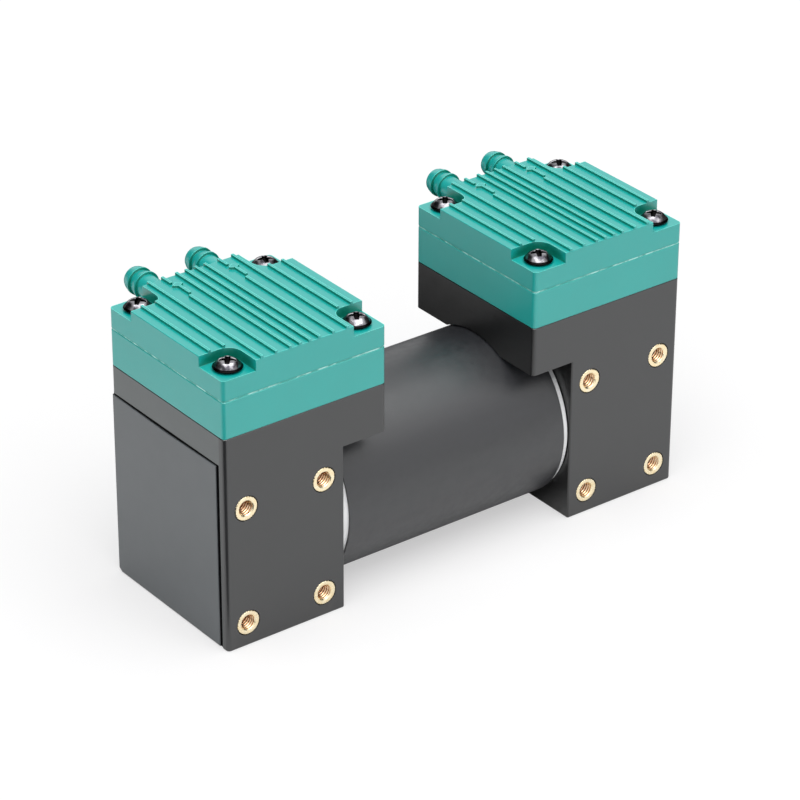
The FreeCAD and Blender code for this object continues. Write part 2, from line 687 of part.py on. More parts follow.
def rib_offsets():
    """Distances of the six ribs on each side from the cover's middle: the two inner
    ones follow the narrow pitch, the rest the wide one."""
    inner = [s.rib_pitch_inner * 0.5, s.rib_pitch_inner * 1.5]
    return inner + [inner[1] + s.rib_pitch_outer * step for step in range(1, 5)]


def cover_ribs(body):
    """Low ribs from front to back. They stop at the corner pockets, and the third pair
    from the middle leaves room for the flow arrows."""
    sketch = sketch_on(body, "rib_outlines", "XY_Plane", plateau_z)
    pocket_x = half_length - s.pocket_side
    short = half_width - s.pocket_side
    half_rib = s.rib_width / 2
    for index, offset in enumerate(rib_offsets()):
        reach = short if offset.value + half_rib.value > pocket_x.value else half_width
        spans = [(-reach, reach)]
        if index == 2:
            spans = [(-reach, reach - s.rib_break_far), (reach - s.rib_break_near, reach)]
        for side in (-1, 1):
            for low, high in spans:
                rectangle(sketch, side * offset - half_rib, side * offset + half_rib, low, high)
    extrude(body, "Pad", "ribs", sketch, s.rib_height)


def cover_arrows(body):
    """A raised arrow towards each nozzle, in the break of its rib. Its outline is a
    shaft and a kite-shaped head."""
    sketch = sketch_on(body, "arrow_outlines", "XY_Plane", plateau_z)
    half_rib = s.rib_width / 2
    barb = half_rib + s.arrow_barb
    tail = half_width - s.rib_break_far + s.arrow_tail_gap
    point = tail + s.arrow_length
    neck = point - s.arrow_head
    wing = neck + s.arrow_head * 0.4
    for side in (-1, 1):
        x = side * rib_offsets()[2] + s.arrow_shift
        polygon(sketch, ((x - half_rib, tail), (x + half_rib, tail), (x + half_rib, neck),
                         (x + barb, wing), (x, point), (x - barb, wing), (x - half_rib, neck)))
    extrude(body, "Pad", "arrows", sketch, s.rib_height)


def cover_nozzle(body, side):
    """A barbed hose nozzle: stem, two sharp-shouldered barbs and a rounded tip, turned
    about its own axis, and its bore to the middle of its valve."""
    label = "outlet" if side < 0 else "inlet"
    profile = sketch_on(body, label + "_nozzle_profile", "XY_Plane", s.nozzle_height, side * nozzle_x)
    back = half_width
    first = back + s.barb_first
    second = first + s.barb_pitch
    tip = back + s.nozzle_length
    polygon(profile, ((ZERO, back - 2.0), (s.nozzle_stem, back - 2.0),
                      (s.nozzle_root, back - 0.5), (s.nozzle_root, back + 0.3),
                      (s.nozzle_stem, back + 1.2), (s.nozzle_stem, first),
                      (s.barb_radius, first), (s.barb_radius, first + s.barb_land),
                      (s.nozzle_stem, second), (s.barb_radius, second),
                      (s.barb_radius, second + s.barb_land),
                      (s.tip_radius, tip - s.tip_round),
                      (s.tip_radius - s.tip_round * 0.3, tip - s.tip_round * 0.3),
                      (s.tip_radius - s.tip_round, tip), (ZERO, tip)))
    turn(body, "Revolution", label + "_nozzle", profile, "V_Axis")
    bore = sketch_on(body, label + "_bore_profile", "XY_Plane", s.nozzle_height, side * nozzle_x)
    rectangle(bore, ZERO, s.nozzle_bore, ZERO, tip + 1.0)
    turn(body, "Groove", label + "_bore", bore, "V_Axis")


def make_cover(name, x):
    """Ribbed head cover with corner pockets for the screws, an air space with a stop
    ring over the outlet disc, a seat boss over the inlet disc and two nozzles."""
    body = new_body(name)
    outline = sketch_on(body, "outline", "XY_Plane")
    rounded_rectangle(outline, -half_length, half_length, -half_width, half_width, s.corner_radius)
    extrude(body, "Pad", "block", outline, plateau_z)

    pockets = sketch_on(body, "pocket_outlines", "XY_Plane", plateau_z)
    outside = 2.0 * s.pocket_radius
    for side_x, side_y in CORNERS:
        inner_x = half_length - s.pocket_side
        inner_y = half_width - s.pocket_side
        ends_x = sorted((side_x * inner_x, side_x * (half_length + outside)), key=lambda n: n.value)
        ends_y = sorted((side_y * inner_y, side_y * (half_width + outside)), key=lambda n: n.value)
        rounded_rectangle(pockets, ends_x[0], ends_x[1], ends_y[0], ends_y[1], s.pocket_radius)
    extrude(body, "Pocket", "screw_pockets", pockets, s.plateau_height)
    dress(body, "Chamfer", "seam_edges", s.seam_bevel,
          lambda edge: abs(edge.BoundBox.ZMax) < 1e-3)
    top = plateau_z.value
    dress(body, "Fillet", "upper_edges", s.cover_edge_radius,
          lambda edge: abs(edge.BoundBox.ZMin - top) < 1e-3 and not touches_pocket(edge))

    cover_ribs(body)
    cover_arrows(body)

    reach = s.well_depth - s.disc_thickness - s.disc_lift + s.gasket_thickness
    space = sketch_on(body, "outlet_space_round", "XY_Plane")
    circle(space, -nozzle_x, ZERO, s.well_radius)
    extrude(body, "Pocket", "outlet_space", space, air_top, True)
    rounds = sketch_on(body, "stop_and_seat_rounds", "XY_Plane", -reach)
    circle(rounds, -nozzle_x, ZERO, s.stop_radius)
    circle(rounds, nozzle_x, ZERO, s.well_radius - s.seat_gap)
    extrude(body, "Pad", "stop_and_seat", rounds, reach + air_top + 0.5)
    openings = sketch_on(body, "opening_rounds", "XY_Plane", -reach)
    for side in (-1, 1):
        circle(openings, side * nozzle_x, ZERO, s.seat_bore)
    extrude(body, "Pocket", "openings", openings, reach + air_top, True)
    notch = sketch_on(body, "notch_outline", "XY_Plane", -reach)
    half_notch = s.stop_notch / 2
    rectangle(notch, -nozzle_x - half_notch, half_notch - nozzle_x,
              -s.stop_radius - 0.5, s.stop_radius + 0.5)
    extrude(body, "Pocket", "stop_notches", notch, reach + air_top, True)
    for side in (-1, 1):
        cover_nozzle(body, side)
    screw_holes(body, "screw_holes", s.cover_screw_radius + s.screw_clearance,
                s.cover_floor, s.cover_floor)
    return place(body, x, AXIS_Y, cover_z)


def touches_pocket(edge):
    """Whether an edge of the cover's top runs along a corner pocket."""
    middle = edge.CenterOfMass
    return (abs(middle.x) > half_length.value - s.pocket_side.value - 0.01
            and abs(middle.y) > half_width.value - s.pocket_side.value - 0.01)


def make_cover_screws(name, x):
    """Four flanged pan-head cross-recessed screws, from the pocket floors into the crankcase."""
    items = []
    shank = cover_z + s.cover_floor - s.crankcase_height + s.cover_screw_grip
    for index, (side_x, side_y) in enumerate(CORNERS):
        body = new_body("%s_%d" % (name, index + 1))
        profile = sketch_on(body, "profile", "XZ_Plane")
        height = s.cover_screw_head_height
        head = s.cover_screw_head
        flange = s.cover_screw_flange_height
        polygon(profile, ((ZERO, -shank), (s.cover_screw_radius, -shank),
                          (s.cover_screw_radius, ZERO), (s.cover_screw_flange, ZERO),
                          (s.cover_screw_flange, flange), (head, flange), (head, height * 0.35),
                          (head * 0.93, height * 0.6), (head * 0.74, height * 0.86),
                          (head * 0.42, height), (ZERO, height)))
        turn(body, "Revolution", "screw", profile, "V_Axis")
        cross = sketch_on(body, "cross", "XY_Plane", height)
        half = s.cross_width / 2
        arm = s.cross_reach / 2
        polygon(cross, ((half, half), (arm, half), (arm, -half), (half, -half), (half, -arm),
                        (-half, -arm), (-half, -half), (-arm, -half), (-arm, half), (-half, half),
                        (-half, arm), (half, arm)))
        extrude(body, "Pocket", "recess", cross, s.cross_depth)
        items.append(place(body, x + side_x * screw_x, AXIS_Y + side_y * screw_y,
                           cover_z + s.cover_floor))
    return group(name, items)


# Diaphragm, rod and eccentric

def make_diaphragm(name, x, phase):
    """Moulded disc: a flat rim held in its seat and a middle raised or lowered by the
    rod, with a sloping wall between."""
    body = new_body(name)
    profile = sketch_on(body, "profile", "XZ_Plane")
    lift = phase * s.stroke_half
    hole = s.clamp_screw_radius + s.thread_clearance
    thick = s.diaphragm_thickness
    polygon(profile, ((hole, lift), (s.clamp_radius + 0.3, lift), (s.cup_radius - 1.0, ZERO),
                      (s.rim_radius, ZERO), (s.rim_radius, thick), (s.cup_radius - 1.2, thick),
                      (s.clamp_radius + 0.1, lift + thick), (hole, lift + thick)))
    turn(body, "Revolution", "disc", profile, "V_Axis")
    return place(body, x, AXIS_Y, diaphragm_z)


def make_rod(name, x, phase):
    """Connecting rod: a ring round its bearing, a tapered shank with a hollow in each
    flank, and a disc that carries the diaphragm."""
    body = new_body(name)
    ring = s.rod_bearing_outer + s.rod_ring_wall
    shank_top = rod_length - s.clamp_thickness
    outline = sketch_on(body, "ring_round", "YZ_Plane")
    circle(outline, ZERO, ZERO, ring)
    extrude(body, "Pad", "ring", outline, s.rod_width, midplane=True)
    shank = sketch_on(body, "shank_outline", "YZ_Plane")
    polygon(shank, ((-s.rod_foot / 2, ring - 3.0), (s.rod_foot / 2, ring - 3.0),
                    (s.rod_neck / 2, shank_top + 0.5), (-s.rod_neck / 2, shank_top + 0.5)))
    extrude(body, "Pad", "shank", shank, s.rod_width, midplane=True)
    disc = sketch_on(body, "disc_profile", "XZ_Plane")
    polygon(disc, ((ZERO, shank_top - 1.0), (s.rod_width / 2, shank_top - 1.0),
                   (s.clamp_radius - 1.0, shank_top), (s.clamp_radius, shank_top + 0.6),
                   (s.clamp_radius, rod_length), (ZERO, rod_length)))
    turn(body, "Revolution", "disc", disc, "V_Axis")
    bore = sketch_on(body, "bore_round", "YZ_Plane")
    circle(bore, ZERO, ZERO, s.rod_bearing_outer + s.fit_clearance)
    extrude(body, "Pocket", "bore", bore, s.rod_width + 1.0, midplane=True)
    low = ring + 1.0
    high = shank_top - 2.5
    foot = s.rod_foot / 2 - s.rod_flange - 1.0
    neck = s.rod_neck / 2 - s.rod_flange
    for side, label in ((-1, "outer"), (1, "inner")):
        hollow = sketch_on(body, label + "_hollow", "YZ_Plane", side * s.rod_width / 2)
        polygon(hollow, ((-foot, low), (foot, low), (neck, high), (-neck, high)))
        extrude(body, "Pocket", label + "_flank", hollow, s.rod_web_recess, side < 0)
    screw = sketch_on(body, "screw_round", "XY_Plane", rod_length)
    circle(screw, ZERO, ZERO, s.clamp_screw_radius + s.thread_clearance)
    extrude(body, "Pocket", "screw_hole", screw, s.clamp_screw_reach + 0.5)
    return place(body, x, AXIS_Y, s.axis_height + phase * s.stroke_half)


def make_bearing(name, outer, bore, width, x, z):
    """Ball bearing seen from outside: two rings with a shield set back between them."""
    body = new_body(name)
    profile = sketch_on(body, "profile", "XZ_Plane")
    half = width / 2
    inset = half - s.shield_inset
    inner_ring = bore + s.ring_wall
    outer_ring = outer - s.ring_wall
    polygon(profile, ((-half, bore), (-half, inner_ring), (-inset, inner_ring),
                      (-inset, outer_ring), (-half, outer_ring), (-half, outer),
                      (half, outer), (half, outer_ring), (inset, outer_ring),
                      (inset, inner_ring), (half, inner_ring), (half, bore)))
    turn(body, "Revolution", "rings", profile, "H_Axis")
    return place(body, x, AXIS_Y, z)


def make_retainer(name, x, phase):
    """Disc that clamps the diaphragm to the rod, countersunk for its screw."""
    body = new_body(name)
    profile = sketch_on(body, "profile", "XZ_Plane")
    bevel = s.retainer_bevel
    thick = s.retainer_thickness
    hole = s.clamp_screw_radius + s.thread_clearance
    sink = s.clamp_screw_head + s.thread_clearance
    polygon(profile, ((hole, ZERO), (s.clamp_radius - 0.2, ZERO),
                      (s.clamp_radius - 0.2, thick - bevel), (s.clamp_radius - 0.2 - bevel, thick),
                      (sink, thick), (hole, thick - (sink - hole))))
    turn(body, "Revolution", "disc", profile, "V_Axis")
    return place(body, x, AXIS_Y, s.crankcase_height + phase * s.stroke_half)


def make_retainer_screw(name, x, phase):
    """Countersunk screw through retainer and diaphragm into the rod."""
    body = new_body(name)
    profile = sketch_on(body, "profile", "XZ_Plane")
    thick = s.retainer_thickness
    head = s.clamp_screw_head
    stem = s.clamp_screw_radius
    end = -(s.diaphragm_thickness + s.clamp_screw_reach)
    polygon(profile, ((ZERO, end), (stem, end), (stem, thick - (head - stem)),
                      (head, thick), (ZERO, thick)))
    turn(body, "Revolution", "screw", profile, "V_Axis")
    cross = sketch_on(body, "cross", "XY_Plane", thick)
    rectangle(cross, -(s.cross_width / 2), s.cross_width / 2,
              -(s.cross_reach / 2), s.cross_reach / 2)
    extrude(body, "Pocket", "slot", cross, s.cross_depth)
    return place(body, x, AXIS_Y, s.crankcase_height + phase * s.stroke_half)


def crank_turn(phase):
    """Left crank pieces stand as modelled, pin up. The right ones are turned half round
    about the Y axis, which swaps their ends and puts the pin down."""
    return Rotation(ACROSS, 0 if phase > 0 else 180)


def make_eccentric(name, x, phase):
    """Eccentric bush on the shaft: a journal for the rod bearing, set off by the throw,
    and a shoulder on the motor's side."""
    body = new_body(name)
    half = s.rod_bearing_width / 2
    journal = sketch_on(body, "journal_round", "YZ_Plane", -half)
    circle(journal, ZERO, s.stroke_half, s.rod_bearing_bore - s.running_clearance)
    extrude(body, "Pad", "journal", journal, s.rod_bearing_width + s.shoulder_thickness / 2)
    shoulder = sketch_on(body, "shoulder_round", "YZ_Plane", half + 0.1)
    circle(shoulder, ZERO, s.stroke_half, s.eccentric_shoulder)
    extrude(body, "Pad", "shoulder", shoulder, s.shoulder_thickness)
    bore = sketch_on(body, "bore_round", "YZ_Plane")
    circle(bore, ZERO, ZERO, s.shaft_radius + s.fit_clearance)
    extrude(body, "Pocket", "bore", bore, 4 * s.rod_bearing_width, midplane=True)
    return place(body, x, AXIS_Y, s.axis_height, crank_turn(phase))


def make_counterweight(name, x, phase):
    """Half-round weight opposite the throw, on a hub with a set screw hole."""
    body = new_body(name)
    start = -(s.rod_bearing_width / 2) - s.counterweight_thickness - 0.1
    hub = sketch_on(body, "hub_round", "YZ_Plane", start)
    circle(hub, ZERO, ZERO, s.counterweight_hub)
    extrude(body, "Pad", "hub", hub, s.counterweight_thickness)
    weight = sketch_on(body, "weight_round", "YZ_Plane", start)
    circle(weight, ZERO, ZERO, s.counterweight_radius)
    extrude(body, "Pad", "weight", weight, s.counterweight_thickness - 0.6)
    relief = sketch_on(body, "relief_outline", "YZ_Plane", start - 1.0)
    rim = s.counterweight_radius + 1.0
    hub_edge = s.counterweight_hub
    polygon(relief, ((hub_edge, ZERO), (rim, ZERO), (rim, rim), (-rim, rim), (-rim, ZERO),
                     (-hub_edge, ZERO), (-hub_edge * 0.7, hub_edge), (hub_edge * 0.7, hub_edge)))
    extrude(body, "Pocket", "relief", relief, 2 * s.counterweight_thickness, True)
    bore = sketch_on(body, "bore_round", "YZ_Plane", start - 1.0)
    circle(bore, ZERO, ZERO, s.shaft_radius + s.fit_clearance)
    extrude(body, "Pocket", "bore", bore, 2 * s.counterweight_thickness, True)
    hole = sketch_on(body, "set_screw_round", "XY_Plane", -s.counterweight_radius - 1.0)
    circle(hole, start + s.counterweight_thickness / 2, ZERO, s.set_screw_radius + s.thread_clearance)
    extrude(body, "Pocket", "set_screw_hole", hole, s.counterweight_radius, True)
    return place(body, x, AXIS_Y, s.axis_height, crank_turn(phase))


def make_set_screw(name, x, phase):
    """Socket set screw that holds the counterweight on the shaft."""
    body = new_body(name)
    start = -(s.rod_bearing_width / 2) - s.counterweight_thickness / 2 - 0.1
    outer = s.counterweight_radius - 0.6
    seat = s.shaft_radius + s.thread_clearance
    outline = sketch_on(body, "outline", "XY_Plane", -outer)
    circle(outline, start, ZERO, s.set_screw_radius)
    extrude(body, "Pad", "screw", outline, outer - seat)
    socket = sketch_on(body, "socket", "XY_Plane", -outer)
    r = s.socket_radius
    corners = [(start + r * math.cos(math.radians(60 * k)), r * math.sin(math.radians(60 * k)))
               for k in range(6)]
    polygon(socket, corners)
    extrude(body, "Pocket", "hexagon", socket, s.cross_depth, True)
    return place(body, x, AXIS_Y, s.axis_height, crank_turn(phase))


# Motor

def make_tube(name, outer, inner, half):
    """A tube about the motor's axis."""
    body = new_body(name)
    outline = sketch_on(body, "outline", "YZ_Plane")
    circle(outline, ZERO, ZERO, outer)
    circle(outline, ZERO, ZERO, inner)
    extrude(body, "Pad", "tube", outline, 2 * half, midplane=True)
    return place(body, ZERO, AXIS_Y, s.axis_height)


def make_end_cap(name):
    """Left end cap: step and pilot at the crankcase, rim, plate, bearing seat and a
    spigot in the can, turned about the motor's axis, and four threaded holes."""
    body = new_body(name)
    profile = sketch_on(body, "profile", "XZ_Plane")
    face = -MOTOR_HALF
    rim_radius = can_radius
    rim_in = face + s.cap_step
    rim_out = rim_in + s.cap_rim
    spigot = can_bore - s.fit_clearance
    seat = s.motor_bearing_radius + s.fit_clearance
    pilot = face - s.pilot_length
    seat_end = pilot + 0.8 + s.motor_bearing_width
    shaft_hole = s.shaft_radius + 1.0
    polygon(profile, ((pilot, shaft_hole), (pilot, s.pilot_radius), (face, s.pilot_radius),
                      (face, s.cap_step_radius), (rim_in, s.cap_step_radius),
                      (rim_in, rim_radius), (rim_out, rim_radius), (rim_out, spigot),
                      (rim_out + s.cap_spigot, spigot),
                      (rim_out + s.cap_spigot, spigot - s.cap_spigot_wall),
                      (face + s.cap_plate, spigot - s.cap_spigot_wall),
                      (face + s.cap_plate, seat), (pilot + 0.8, seat),
                      (pilot + 0.8, shaft_hole)))
    turn(body, "Revolution", "cap", profile, "H_Axis")
    holes = sketch_on(body, "screw_places", "YZ_Plane", face)
    reach = s.motor_screw_circle * math.sqrt(0.5)
    for side_y, side_z in CORNERS:
        circle(holes, side_y * reach, side_z * reach, s.motor_screw_radius + s.thread_clearance)
    extrude(body, "Pocket", "screw_holes", holes, 2 * s.cap_plate, True)
    return place(body, ZERO, AXIS_Y, s.axis_height), seat_end


def make_shaft(name):
    """Motor shaft, out of both ends of the motor."""
    body = new_body(name)
    profile = sketch_on(body, "profile", "XZ_Plane")
    end = shaft_half
    bevel = s.shaft_bevel
    polygon(profile, ((-end, ZERO), (end, ZERO), (end, s.shaft_radius - bevel),
                      (end - bevel, s.shaft_radius), (bevel - end, s.shaft_radius),
                      (-end, s.shaft_radius - bevel)))
    turn(body, "Revolution", "shaft", profile, "H_Axis")
    return place(body, ZERO, AXIS_Y, s.axis_height)


TEETH = 9


def make_stator(name):
    """Stack of laminations: a yoke in the can and nine teeth with shoes, one slot cut
    and repeated round the axis."""
    body = new_body(name)
    outline = sketch_on(body, "outline", "YZ_Plane")
    outer = can_bore - s.fit_clearance
    circle(outline, ZERO, ZERO, outer)
    circle(outline, ZERO, ZERO, s.stator_bore)
    extrude(body, "Pad", "stack", outline, s.stator_length, midplane=True)
    slot = sketch_on(body, "slot_outline", "YZ_Plane")
    step = math.pi / TEETH
    low = s.stator_bore + s.tooth_shoe
    high = outer - s.stator_yoke
    wide_low = low * math.sin(step) - s.tooth_width / 2 * math.cos(step)
    wide_high = high * math.sin(step) - s.tooth_width / 2 * math.cos(step)
    mouth = s.slot_mouth / 2
    foot = s.stator_bore - 1.0
    polygon(slot, ((-mouth, foot), (mouth, foot), (mouth, low), (wide_low, low + 0.6),
                   (wide_high, high - 0.8), (-wide_high, high - 0.8), (-wide_low, low + 0.6),
                   (-mouth, low)))
    cut = extrude(body, "Pocket", "slot", slot, s.stator_length + 2.0, midplane=True)
    polar(body, "slots", cut, outline, "N_Axis", TEETH)
    return place(body, ZERO, AXIS_Y, s.axis_height, None)


def make_board(name):
    """Ring-shaped driver board on the left end cap's spigot."""
    body = new_body(name)
    start = -MOTOR_HALF + s.cap_step + s.cap_rim + s.cap_spigot
    outline = sketch_on(body, "outline", "YZ_Plane", start)
    circle(outline, ZERO, ZERO, can_bore - s.seat_gap)
    circle(outline, ZERO, ZERO, s.stator_bore)
    extrude(body, "Pad", "board", outline, s.board_thickness)
    chips = sketch_on(body, "chip_outlines", "YZ_Plane", start + s.board_thickness)
    middle = (can_bore - s.seat_gap + s.stator_bore) / 2
    half = s.chip_side / 2
    for side in (-1, 1):
        rectangle(chips, side * middle - half, side * middle + half, -half, half)
        rectangle(chips, -half, half, side * middle - half, side * middle + half)
    extrude(body, "Pad", "chips", chips, s.chip_height)
    return place(body, ZERO, AXIS_Y, s.axis_height)


def make_windings(name):
    """Nine coils, each a closed loop round its tooth."""
    outer = can_bore - s.fit_clearance - s.stator_yoke - s.coil_gap - 0.9
    low = s.stator_bore + s.tooth_shoe + 0.6 + s.coil_gap
    items = []
    for index in range(TEETH):
        body = new_body("%s_%d" % (name, index + 1))
        plan = sketch_on(body, "plan", "XY_Plane", low)
        inner_x = s.stator_length / 2 + s.coil_gap
        inner_y = s.tooth_width / 2 + s.coil_gap
        outer_x = inner_x + s.coil_height - 1.0
        outer_y = inner_y + s.coil_side
        rounded_rectangle(plan, -outer_x, outer_x, -outer_y, outer_y, s.coil_side)
        rectangle(plan, -inner_x, inner_x, -inner_y, inner_y)
        extrude(body, "Pad", "coil", plan, outer - low)
        angle = 360.0 * index / TEETH + 180.0 / TEETH
        items.append(place(body, ZERO, AXIS_Y, s.axis_height, Rotation(ALONG, angle)))
    return group(name, items)


def make_magnets(name):
    """Four curved magnets bonded round the rotor's core."""
    items = []
    outer = s.magnet_radius.value
    inner = outer - s.magnet_thickness.value
    length = s.stator_length.value
    gap = s.magnet_gap_angle.value
    centre = Vector(-length / 2, 0, 0)
    for index in range(4):
        ring = Part.makeCylinder(outer, length, centre, ALONG, 90 - gap)
        hole = Part.makeCylinder(inner, length, centre, ALONG, 90 - gap)
        magnet = ring.cut(hole)
        magnet.rotate(Vector(0, 0, 0), ALONG, 90 * index)
        items.append(magnet)
    item = doc.addObject("Part::Feature", name)
    item.Label = name
    item.Shape = Part.makeCompound(items)
    return place(item, ZERO, AXIS_Y, s.axis_height)


# The pump

pieces = []
left_case = make_crankcase("left_crankcase")
left_panel = make_end_panel("left_end_panel")
left_seal = make_panel_seal("left_panel_seal")
left_inserts = make_inserts("left_threaded_inserts")
left_motor_screws = make_motor_screws("left_motor_screws")
left_cap, seat_end = make_end_cap("left_motor_end_cap")
for piece in (left_case, left_panel, left_seal, left_inserts, left_motor_screws, left_cap):
    pieces += [piece, mirrored(piece, piece.Label.replace("left", "right"))]

for side_name, side in HEADS:
    x = side * HEAD_X
    phase = -side
    prefix = side_name + "_"
    pieces += [
        make_valve_plate(prefix + "valve_plate", x),
        make_gasket(prefix + "valve_gasket", x),
        make_cover(prefix + "head_cover", x),
        make_cover_screws(prefix + "cover_screws", x),
        make_disc(prefix + "outlet_valve_disc", x - nozzle_x),
        make_disc(prefix + "inlet_valve_disc", x + nozzle_x),
        make_diaphragm(prefix + "diaphragm", x, phase),
        make_retainer(prefix + "diaphragm_retainer", x, phase),
        make_retainer_screw(prefix + "retainer_screw", x, phase),
        make_rod(prefix + "connecting_rod", x, phase),
        make_bearing(prefix + "rod_bearing", s.rod_bearing_outer, s.rod_bearing_bore,
                     s.rod_bearing_width, x, s.axis_height + phase * s.stroke_half),
        make_eccentric(prefix + "eccentric", x, phase),
        make_counterweight(prefix + "counterweight", x, phase),
        make_set_screw(prefix + "set_screw", x, phase),
        make_bearing(prefix + "motor_bearing", s.motor_bearing_radius,
                     s.shaft_radius + s.running_clearance, s.motor_bearing_width,
                     side * (s.motor_bearing_width / 2 - seat_end), s.axis_height),
    ]

sleeve_half = MOTOR_HALF - s.sleeve_end
can_half = MOTOR_HALF - s.cap_step - s.cap_rim - 0.05
pieces += [
    make_tube("motor_sleeve", s.sleeve_radius, s.sleeve_radius - s.sleeve_wall, sleeve_half),
    make_tube("motor_can", can_radius, can_bore, can_half),
    make_stator("stator_core"),
    make_windings("stator_windings"),
    make_board("driver_board"),
    make_tube("rotor_core", s.magnet_radius - s.magnet_thickness - s.fit_clearance,
              s.shaft_radius + s.fit_clearance, s.stator_length / 2),
    make_magnets("rotor_magnets"),
    make_shaft("motor_shaft"),
]
doc.recompute()

# Checks and export

faults = [item.Name for item in doc.Objects if {"Invalid", "Error"} & set(item.State)]
faults += [piece.Label for piece in pieces if piece.Shape.isNull() or not piece.Shape.isValid()]
if faults:
    raise RuntimeError("failed: " + ", ".join(faults))
for piece in pieces:
    shape = piece.Shape
    shape.exportStep("parts/%s.step" % piece.Label)
    print("%-28s %2d solids %10.2f mm3" % (piece.Label, len(shape.Solids), shape.Volume))
print(len(pieces), "pieces")
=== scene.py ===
"""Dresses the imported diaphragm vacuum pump: finishes for its moulded, turned and wound
pieces, cross-recessed cover screws, knurled threaded inserts, and a plain light studio."""

import math

import bpy
import numpy as np
from mathutils import Matrix, Vector


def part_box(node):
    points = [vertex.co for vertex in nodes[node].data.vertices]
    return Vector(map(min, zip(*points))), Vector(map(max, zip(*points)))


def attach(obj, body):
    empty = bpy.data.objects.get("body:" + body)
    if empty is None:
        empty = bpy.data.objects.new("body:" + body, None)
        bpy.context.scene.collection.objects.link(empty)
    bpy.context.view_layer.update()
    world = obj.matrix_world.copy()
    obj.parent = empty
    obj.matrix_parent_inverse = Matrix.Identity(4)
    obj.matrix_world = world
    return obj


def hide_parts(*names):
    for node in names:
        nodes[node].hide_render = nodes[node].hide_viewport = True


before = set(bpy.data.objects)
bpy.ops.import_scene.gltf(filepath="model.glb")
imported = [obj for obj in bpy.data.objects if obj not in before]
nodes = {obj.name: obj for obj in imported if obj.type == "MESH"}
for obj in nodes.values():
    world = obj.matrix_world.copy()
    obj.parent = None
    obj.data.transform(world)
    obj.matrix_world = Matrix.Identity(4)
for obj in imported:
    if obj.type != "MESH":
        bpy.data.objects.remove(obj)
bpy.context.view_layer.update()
SIDES = ("left", "right")
MM = 0.001
TURN = 2 * np.pi
WHITE = (1.0, 1.0, 1.0, 1.0)


# Shader nodes

def add_node(tree, kind, inputs=None, **settings):
    """Adds a shader node with its settings. Each input gets a value, or a link where it is
    given another node's output."""
    node = tree.nodes.new(kind)
    for key, value in settings.items():
        setattr(node, key, value)
    for socket, value in (inputs or {}).items():
        if isinstance(value, bpy.types.NodeSocket):
            tree.links.new(value, node.inputs[socket])
        else:
            node.inputs[socket].default_value = value
    return node


def combine(tree, operation, first, second):
    """The result of a sum in a Math node."""
    return add_node(tree, "ShaderNodeMath", {0: first, 1: second}, operation=operation).outputs[0]


def dot_product(tree, first, second):
    return add_node(tree, "ShaderNodeVectorMath", {0: first, 1: second},
                    operation="DOT_PRODUCT").outputs["Value"]


def spread(tree, value, start, end, low=0.0, high=1.0):
    """Low where the value is at start, high where it is at end, and even between them."""
    return add_node(tree, "ShaderNodeMapRange",
                    {"Value": value, "From Min": start, "From Max": end,
                     "To Min": low, "To Max": high}).outputs["Result"]


def split(tree, vector):
    """A vector's X, Y and Z outputs."""
    return add_node(tree, "ShaderNodeSeparateXYZ", {"Vector": vector}).outputs


def mix_shaders(tree, share, first, second):
    return add_node(tree, "ShaderNodeMixShader", {0: share, 1: first, 2: second}).outputs[0]


# Camera, lamp, room and floor

def aim_camera():
    """Puts the camera where the photograph was taken from. Its direction comes from an
    azimuth about Z and an elevation, and a small roll turns it about its own axis."""
    azimuth, elevation, roll = math.radians(-37.34), math.radians(28.79), math.radians(0.236)
    place = (-0.444722, -0.587773, 0.435636)
    back = Vector((math.sin(azimuth) * math.cos(elevation),
                   -math.cos(azimuth) * math.cos(elevation), math.sin(elevation)))
    right = (-back).cross(Vector((0, 0, 1))).normalized()
    up = right.cross(-back)
    turned_right = math.cos(roll) * right + math.sin(roll) * up
    turned_up = -math.sin(roll) * right + math.cos(roll) * up
    data = bpy.data.cameras.new("photo_camera")
    data.lens = 163.217
    data.sensor_width = 36.0
    data.clip_start, data.clip_end = 0.05, 20.0
    camera = bpy.data.objects.new("photo_camera", data)
    basis = Matrix((turned_right, turned_up, back)).transposed()
    camera.matrix_world = Matrix.Translation(place) @ basis.to_4x4()
    bpy.context.scene.collection.objects.link(camera)
    bpy.context.scene.camera = camera


def add_softbox(name, place, target, side, watts):
    """A square white lamp at a place, facing a target."""
    data = bpy.data.lights.new(name, "AREA")
    data.shape = "RECTANGLE"
    data.size = data.size_y = side
    data.energy = watts
    lamp = bpy.data.objects.new(name, data)
    lamp.location = place
    lamp.rotation_mode = "QUATERNION"
    lamp.rotation_quaternion = (Vector(target) - Vector(place)).to_track_quat("-Z", "Y")
    bpy.context.scene.collection.objects.link(lamp)


